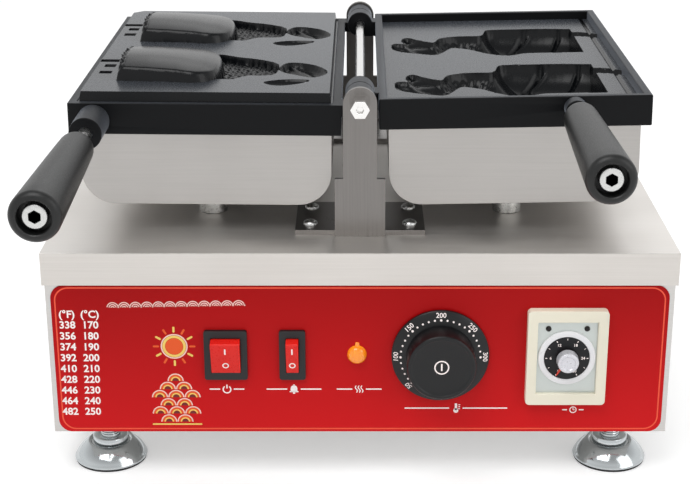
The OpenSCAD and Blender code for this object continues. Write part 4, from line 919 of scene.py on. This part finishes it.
NECK = rounded([
    (92, 34), (88, 33.5), (77.3, 26), (65.3, 22), (51.3, 10.8), (50.3, -3), (52, -20.7), (61, -22.5),
    (68, -21.8), (73.5, -27), (77.2, -32.5), (82.5, -32), (92, -32)], 1)
BIG_LEAF = rounded([
    (46.7, 12.7), (38, 13), (26.5, 5.3), (19.2, -9.7), (21.5, -19.6), (28.9, -27.6), (36.7, -22.1),
    (47.8, -14.1), (51.4, -4.3)])
LOW_LEAF = rounded([(60.5, -39), (50, -32.1), (38, -30.5), (28.5, -32.6), (36, -42.2), (50.6, -49)])
# How far a core's rounded edge reaches inside its outline, and the second crease inside an outline, in mm
CORE_EDGE = 3.6
CORE_SIDE, NECK_SIDE, FACE_SIDE, MOUTH_SIDE = 1.4, 1.2, 0.9, 0.9


def fish_pocket(u, s):
    """Depth of a whole fish below the sunk face: a round-bottomed trough whose far end is the open mouth."""
    rim = -outline_distance(u, s, FISH)
    gill = u - np.interp(s, [-41, 23, 34], [98.0, 106.5, 117.5])
    jaw = u - np.interp(s, [-41, 23, 34], [128.0, 135.5, 143.0])
    bands = np.exp(-(gill / 1.9) ** 2) + 0.8 * np.exp(-(jaw / 1.5) ** 2)
    inside = rim + 2.4 * bands * unit(rim / 1.2)
    deep = np.interp(u, [22, 40, 50, 62, 80, 92, 110, 130], [5.5, 7.5, 10.0, 12.0, 16.5, 20.0, 21.3, 21.5])
    run = np.interp(u, [22, 40, 50, 62, 80, 92], [8, 13, 14, 15, 22, 34])
    trough = deep * np.sqrt(1 - (1 - unit(inside / run)) ** 2)
    depth = np.minimum(trough, unit((MOUTH_END - u) / MOUTH_SIDE) * deep)
    within = unit(rim / 2.5)
    ridge = np.exp(-((gill - 4.0) / 1.3) ** 2)
    depth += within * unit((MOUTH_END - 2 - u) / 2) * (1.5 * bands - 1.1 * ridge)
    fin = np.exp(-(((u - 91) / 13) ** 2 + ((s + 22) / 17) ** 2) ** 2)
    fan = np.arctan2(s + 2, u - 62)
    depth -= 1.7 * fin * within * np.sin(24 * fan)
    scales = unit((88 - u) / 6) * unit((u - 50) / 4)
    depth -= scales * within * (0.8 * np.abs(np.sin(0.5 * u + 0.3 * s)) + 0.8 * crumble(0.7 * u, 0.7 * s))
    tail = unit((50 - u) / 4)
    depth -= tail * within * 1.3 * np.abs(np.sin(0.4 * s + 0.16 * u))
    return np.maximum(depth, 0), -rim


def mouth_core(u, s):
    """Height of a core: upright sides up to a ridge, then a smooth dome, with a ragged square end."""
    inside = -outline_distance(u, s, CORE)
    crown = np.interp(u, [83.5, 88, 96, 110, 128, 147], [5.2, 6.6, 8.4, 10.0, 11.3, 11.8])
    far = np.interp(u, [84.5, 86.5, 91, 100, 130, 165], [4, 12, 22, 27, 28, 27.5])
    near = np.interp(u, [84.5, 85.5, 92, 102, 113, 147], [-21, -29, -39.6, -43, -39.6, -38])
    top = near + 0.37 * (far - near)
    in_front = unit((top - s) / (top - near))
    behind = unit((s - top) / (far - top))
    tip = np.sqrt(1 - unit((100 - u) / 16) ** 2)
    side = 1 - (1 - unit(inside / CORE_EDGE)) ** 4
    height = side * crown * (0.62 + tip * (0.38 * (1 - in_front ** 2) ** 0.9 - 0.45 * behind ** 2))
    end = unit((u - CORE_END + 5) / 3)
    height -= end * (1.5 + 1.7 * crumble(0.6 * u, 0.7 * s))
    ragged = CORE_END - 0.5 * (1 + np.sin(0.9 * s) * np.sin(0.37 * s + 1))
    return np.maximum(height, 0) * unit((ragged - u) / 1.1), -inside


def tail_relief(u, s):
    """Depth of the rough neck, the tail's leaves and the vents beyond a core."""
    neck = -outline_distance(u, s, NECK)
    rough = 0.8 * crumble(0.55 * u, 0.55 * s) + 0.3 * crumble(1.1 * u, 1.1 * s)
    depth = unit(neck / NECK_SIDE) * (4.8 + rough)
    big, low = -outline_distance(u, s, BIG_LEAF), -outline_distance(u, s, LOW_LEAF)
    across = u - np.interp(s, [-21.2, -3.8, 9.4], [30.6, 37.4, 43.4])
    vein = np.exp(-(across / 1.2) ** 2)
    depth = np.maximum(depth, unit(big / 2.6) ** 0.6 * (4.3 - 2.6 * vein - 0.4 * np.sin(0.9 * across)))
    depth = np.maximum(depth, unit(low / 4.5) ** 0.6 * 3.4)
    away = least(np.abs(neck), np.abs(neck - NECK_SIDE), np.abs(big), np.abs(low))
    for middle, low_u, high_u in ((14, 152.0, 164.0), (0.5, 153.0, 159.3), (-16.7, 153.0, 160.0)):
        slot = least(u - low_u, high_u - u, 3.4 - np.abs(s - middle))
        depth = np.maximum(depth, unit(slot / 0.5) * 4.2)
        away = np.minimum(away, np.abs(slot))
    return depth, away


def vent(u, s):
    """Depth of the groove that leads from a pocket's mouth to the plate's outer edge."""
    middle = np.interp(u, [146, 152, 158, 163, 168], [15.0, 14.5, 12.7, 9.5, 4.5])
    within = np.minimum(6.8 - unit((u - 150) / 16) - np.abs(s - middle), u - 146)
    return 5.6 * np.sqrt(unit(within / 1.2)), -within


def raised_face(u, v):
    """Distance inside the outline of the raised face, which has one corner cut off."""
    low_u, high_u, low_v, high_v, cut = 17, 165, 39.6, 277.6, 7
    corner = (high_u + high_v - cut - u - v) / math.sqrt(2)
    return least(u - low_u, high_u - u, v - low_v, high_v - v, corner)


def left_surface(u, v):
    """Height of the raised plate, and the distance to its nearest outline."""
    edge = raised_face(u, v)
    height = LEFT_SHELF + (LEFT_FACE - LEFT_SHELF) * unit(edge / FACE_SIDE)
    near = np.minimum(np.abs(edge), np.abs(edge - FACE_SIDE))
    for row in FISH_ROWS:
        core, core_edge = mouth_core(u, v - row)
        sunk, sunk_edge = tail_relief(u, v - row)
        on_core = core_edge < 0
        height = np.where(on_core & (u < CORE_END), height + core, height - sunk)
        creases = np.minimum(np.abs(core_edge), np.abs(core_edge + CORE_SIDE))
        near = np.minimum(near, np.where(u < CORE_END + 0.5, creases, 9))
        near = np.minimum(near, np.where(on_core, 9, sunk_edge))
    return height, near


def right_surface(u, v):
    """Height of the sunk plate, and the distance to its nearest outline."""
    crease_u, crease = 161.2, 1.2
    height = RIGHT_FACE - crease * unit(crease - np.abs(u - crease_u))
    near = np.full(u.shape, 9.0)
    for row in FISH_ROWS:
        depth, edge = fish_pocket(u, v - row)
        groove, groove_edge = vent(u, v - row)
        height -= np.maximum(depth, groove)
        rim = np.minimum(np.maximum(edge, u - MOUTH_END), groove_edge)
        near = np.minimum(near, np.abs(rim))
    return height, near


def mould_plate(side, surface, seat, back, levels):
    """A cast plate: a fine grid drawn on to its outlines and set to its heights, then closed below. Its
    level faces, at the given heights, are milled, and the rest keeps the cast skin under the coat."""
    name = SIDE_NAME[side]
    fine, step, border_line, level_by = 0.7, 0.05, 0.1, 0.2
    bm = bmesh.new()
    bmesh.ops.create_grid(bm, x_segments=round(PLATE_W / fine), y_segments=round(PLATE_D / fine), size=0.5)
    bmesh.ops.scale(bm, vec=(PLATE_W, PLATE_D, 1), verts=bm.verts)
    bmesh.ops.translate(bm, vec=(HALF_MID_U, HALF_MID_V, 0), verts=bm.verts)
    verts = bm.verts[:]
    u = np.array([vert.co.x for vert in verts])
    v = np.array([vert.co.y for vert in verts])
    from_edge = least(PLATE_W / 2 - np.abs(u - HALF_MID_U), PLATE_D / 2 - np.abs(v - HALF_MID_V))
    _, near = surface(u, v)
    slope_u = (surface(u + step, v)[1] - surface(u - step, v)[1]) / (2 * step)
    slope_v = (surface(u, v + step)[1] - surface(u, v - step)[1]) / (2 * step)
    pull = np.where((from_edge > border_line) & (near < 0.5 * fine) & (near > step), near, 0)
    u, v = u - pull * slope_u, v - pull * slope_v
    height, _ = surface(u, v)
    for vert, x, y, z in zip(verts, u, v, height):
        vert.co = (x, y, z)
    for face in bm.faces:
        heights = [vert.co.z for vert in face.verts]
        face.material_index = int(any(max(abs(z - level) for z in heights) < level_by for level in levels))
    loop = [edge for edge in bm.edges if edge.is_boundary]
    for z, ledge in ((seat, 0), (seat, LEDGE), (back, 0)):
        wall = bmesh.ops.extrude_edge_only(bm, edges=loop)["geom"]
        rim = verts_of(wall)
        loop = [item for item in wall if isinstance(item, bmesh.types.BMEdge) and item.is_boundary]
        bmesh.ops.scale(bm, vec=(1 - 2 * ledge / PLATE_W, 1 - 2 * ledge / PLATE_D, 1), verts=rim,
                        space=move(-HALF_MID_U, -HALF_MID_V))
        for vert in rim:
            vert.co.z = z
    bmesh.ops.contextual_create(bm, geom=loop)
    plate = piece_from(bm, name + "_mould_plate", half_space(side), name + "_half", CAVITY_COAT,
                       [name + "_mould"], 38)
    plate.data.materials.append(FACE_COAT)


camera()
studio()
sheet_metal()
small_steel()
bracket_screws()
feet()
handles()
rocker_switch("power", POWER_X, 25.6)
rocker_switch("alarm", ALARM_X, 15.6)
pilot_light()
temperature_knob()
timer()
border()
temperature_table()
wave_band()
picture()
signs()
mould_plate(-1, left_surface, LEFT_SEAT, LEFT_BACK, (LEFT_FACE, LEFT_SHELF))
mould_plate(1, right_surface, RIGHT_SEAT, RIGHT_BACK, (RIGHT_FACE,))
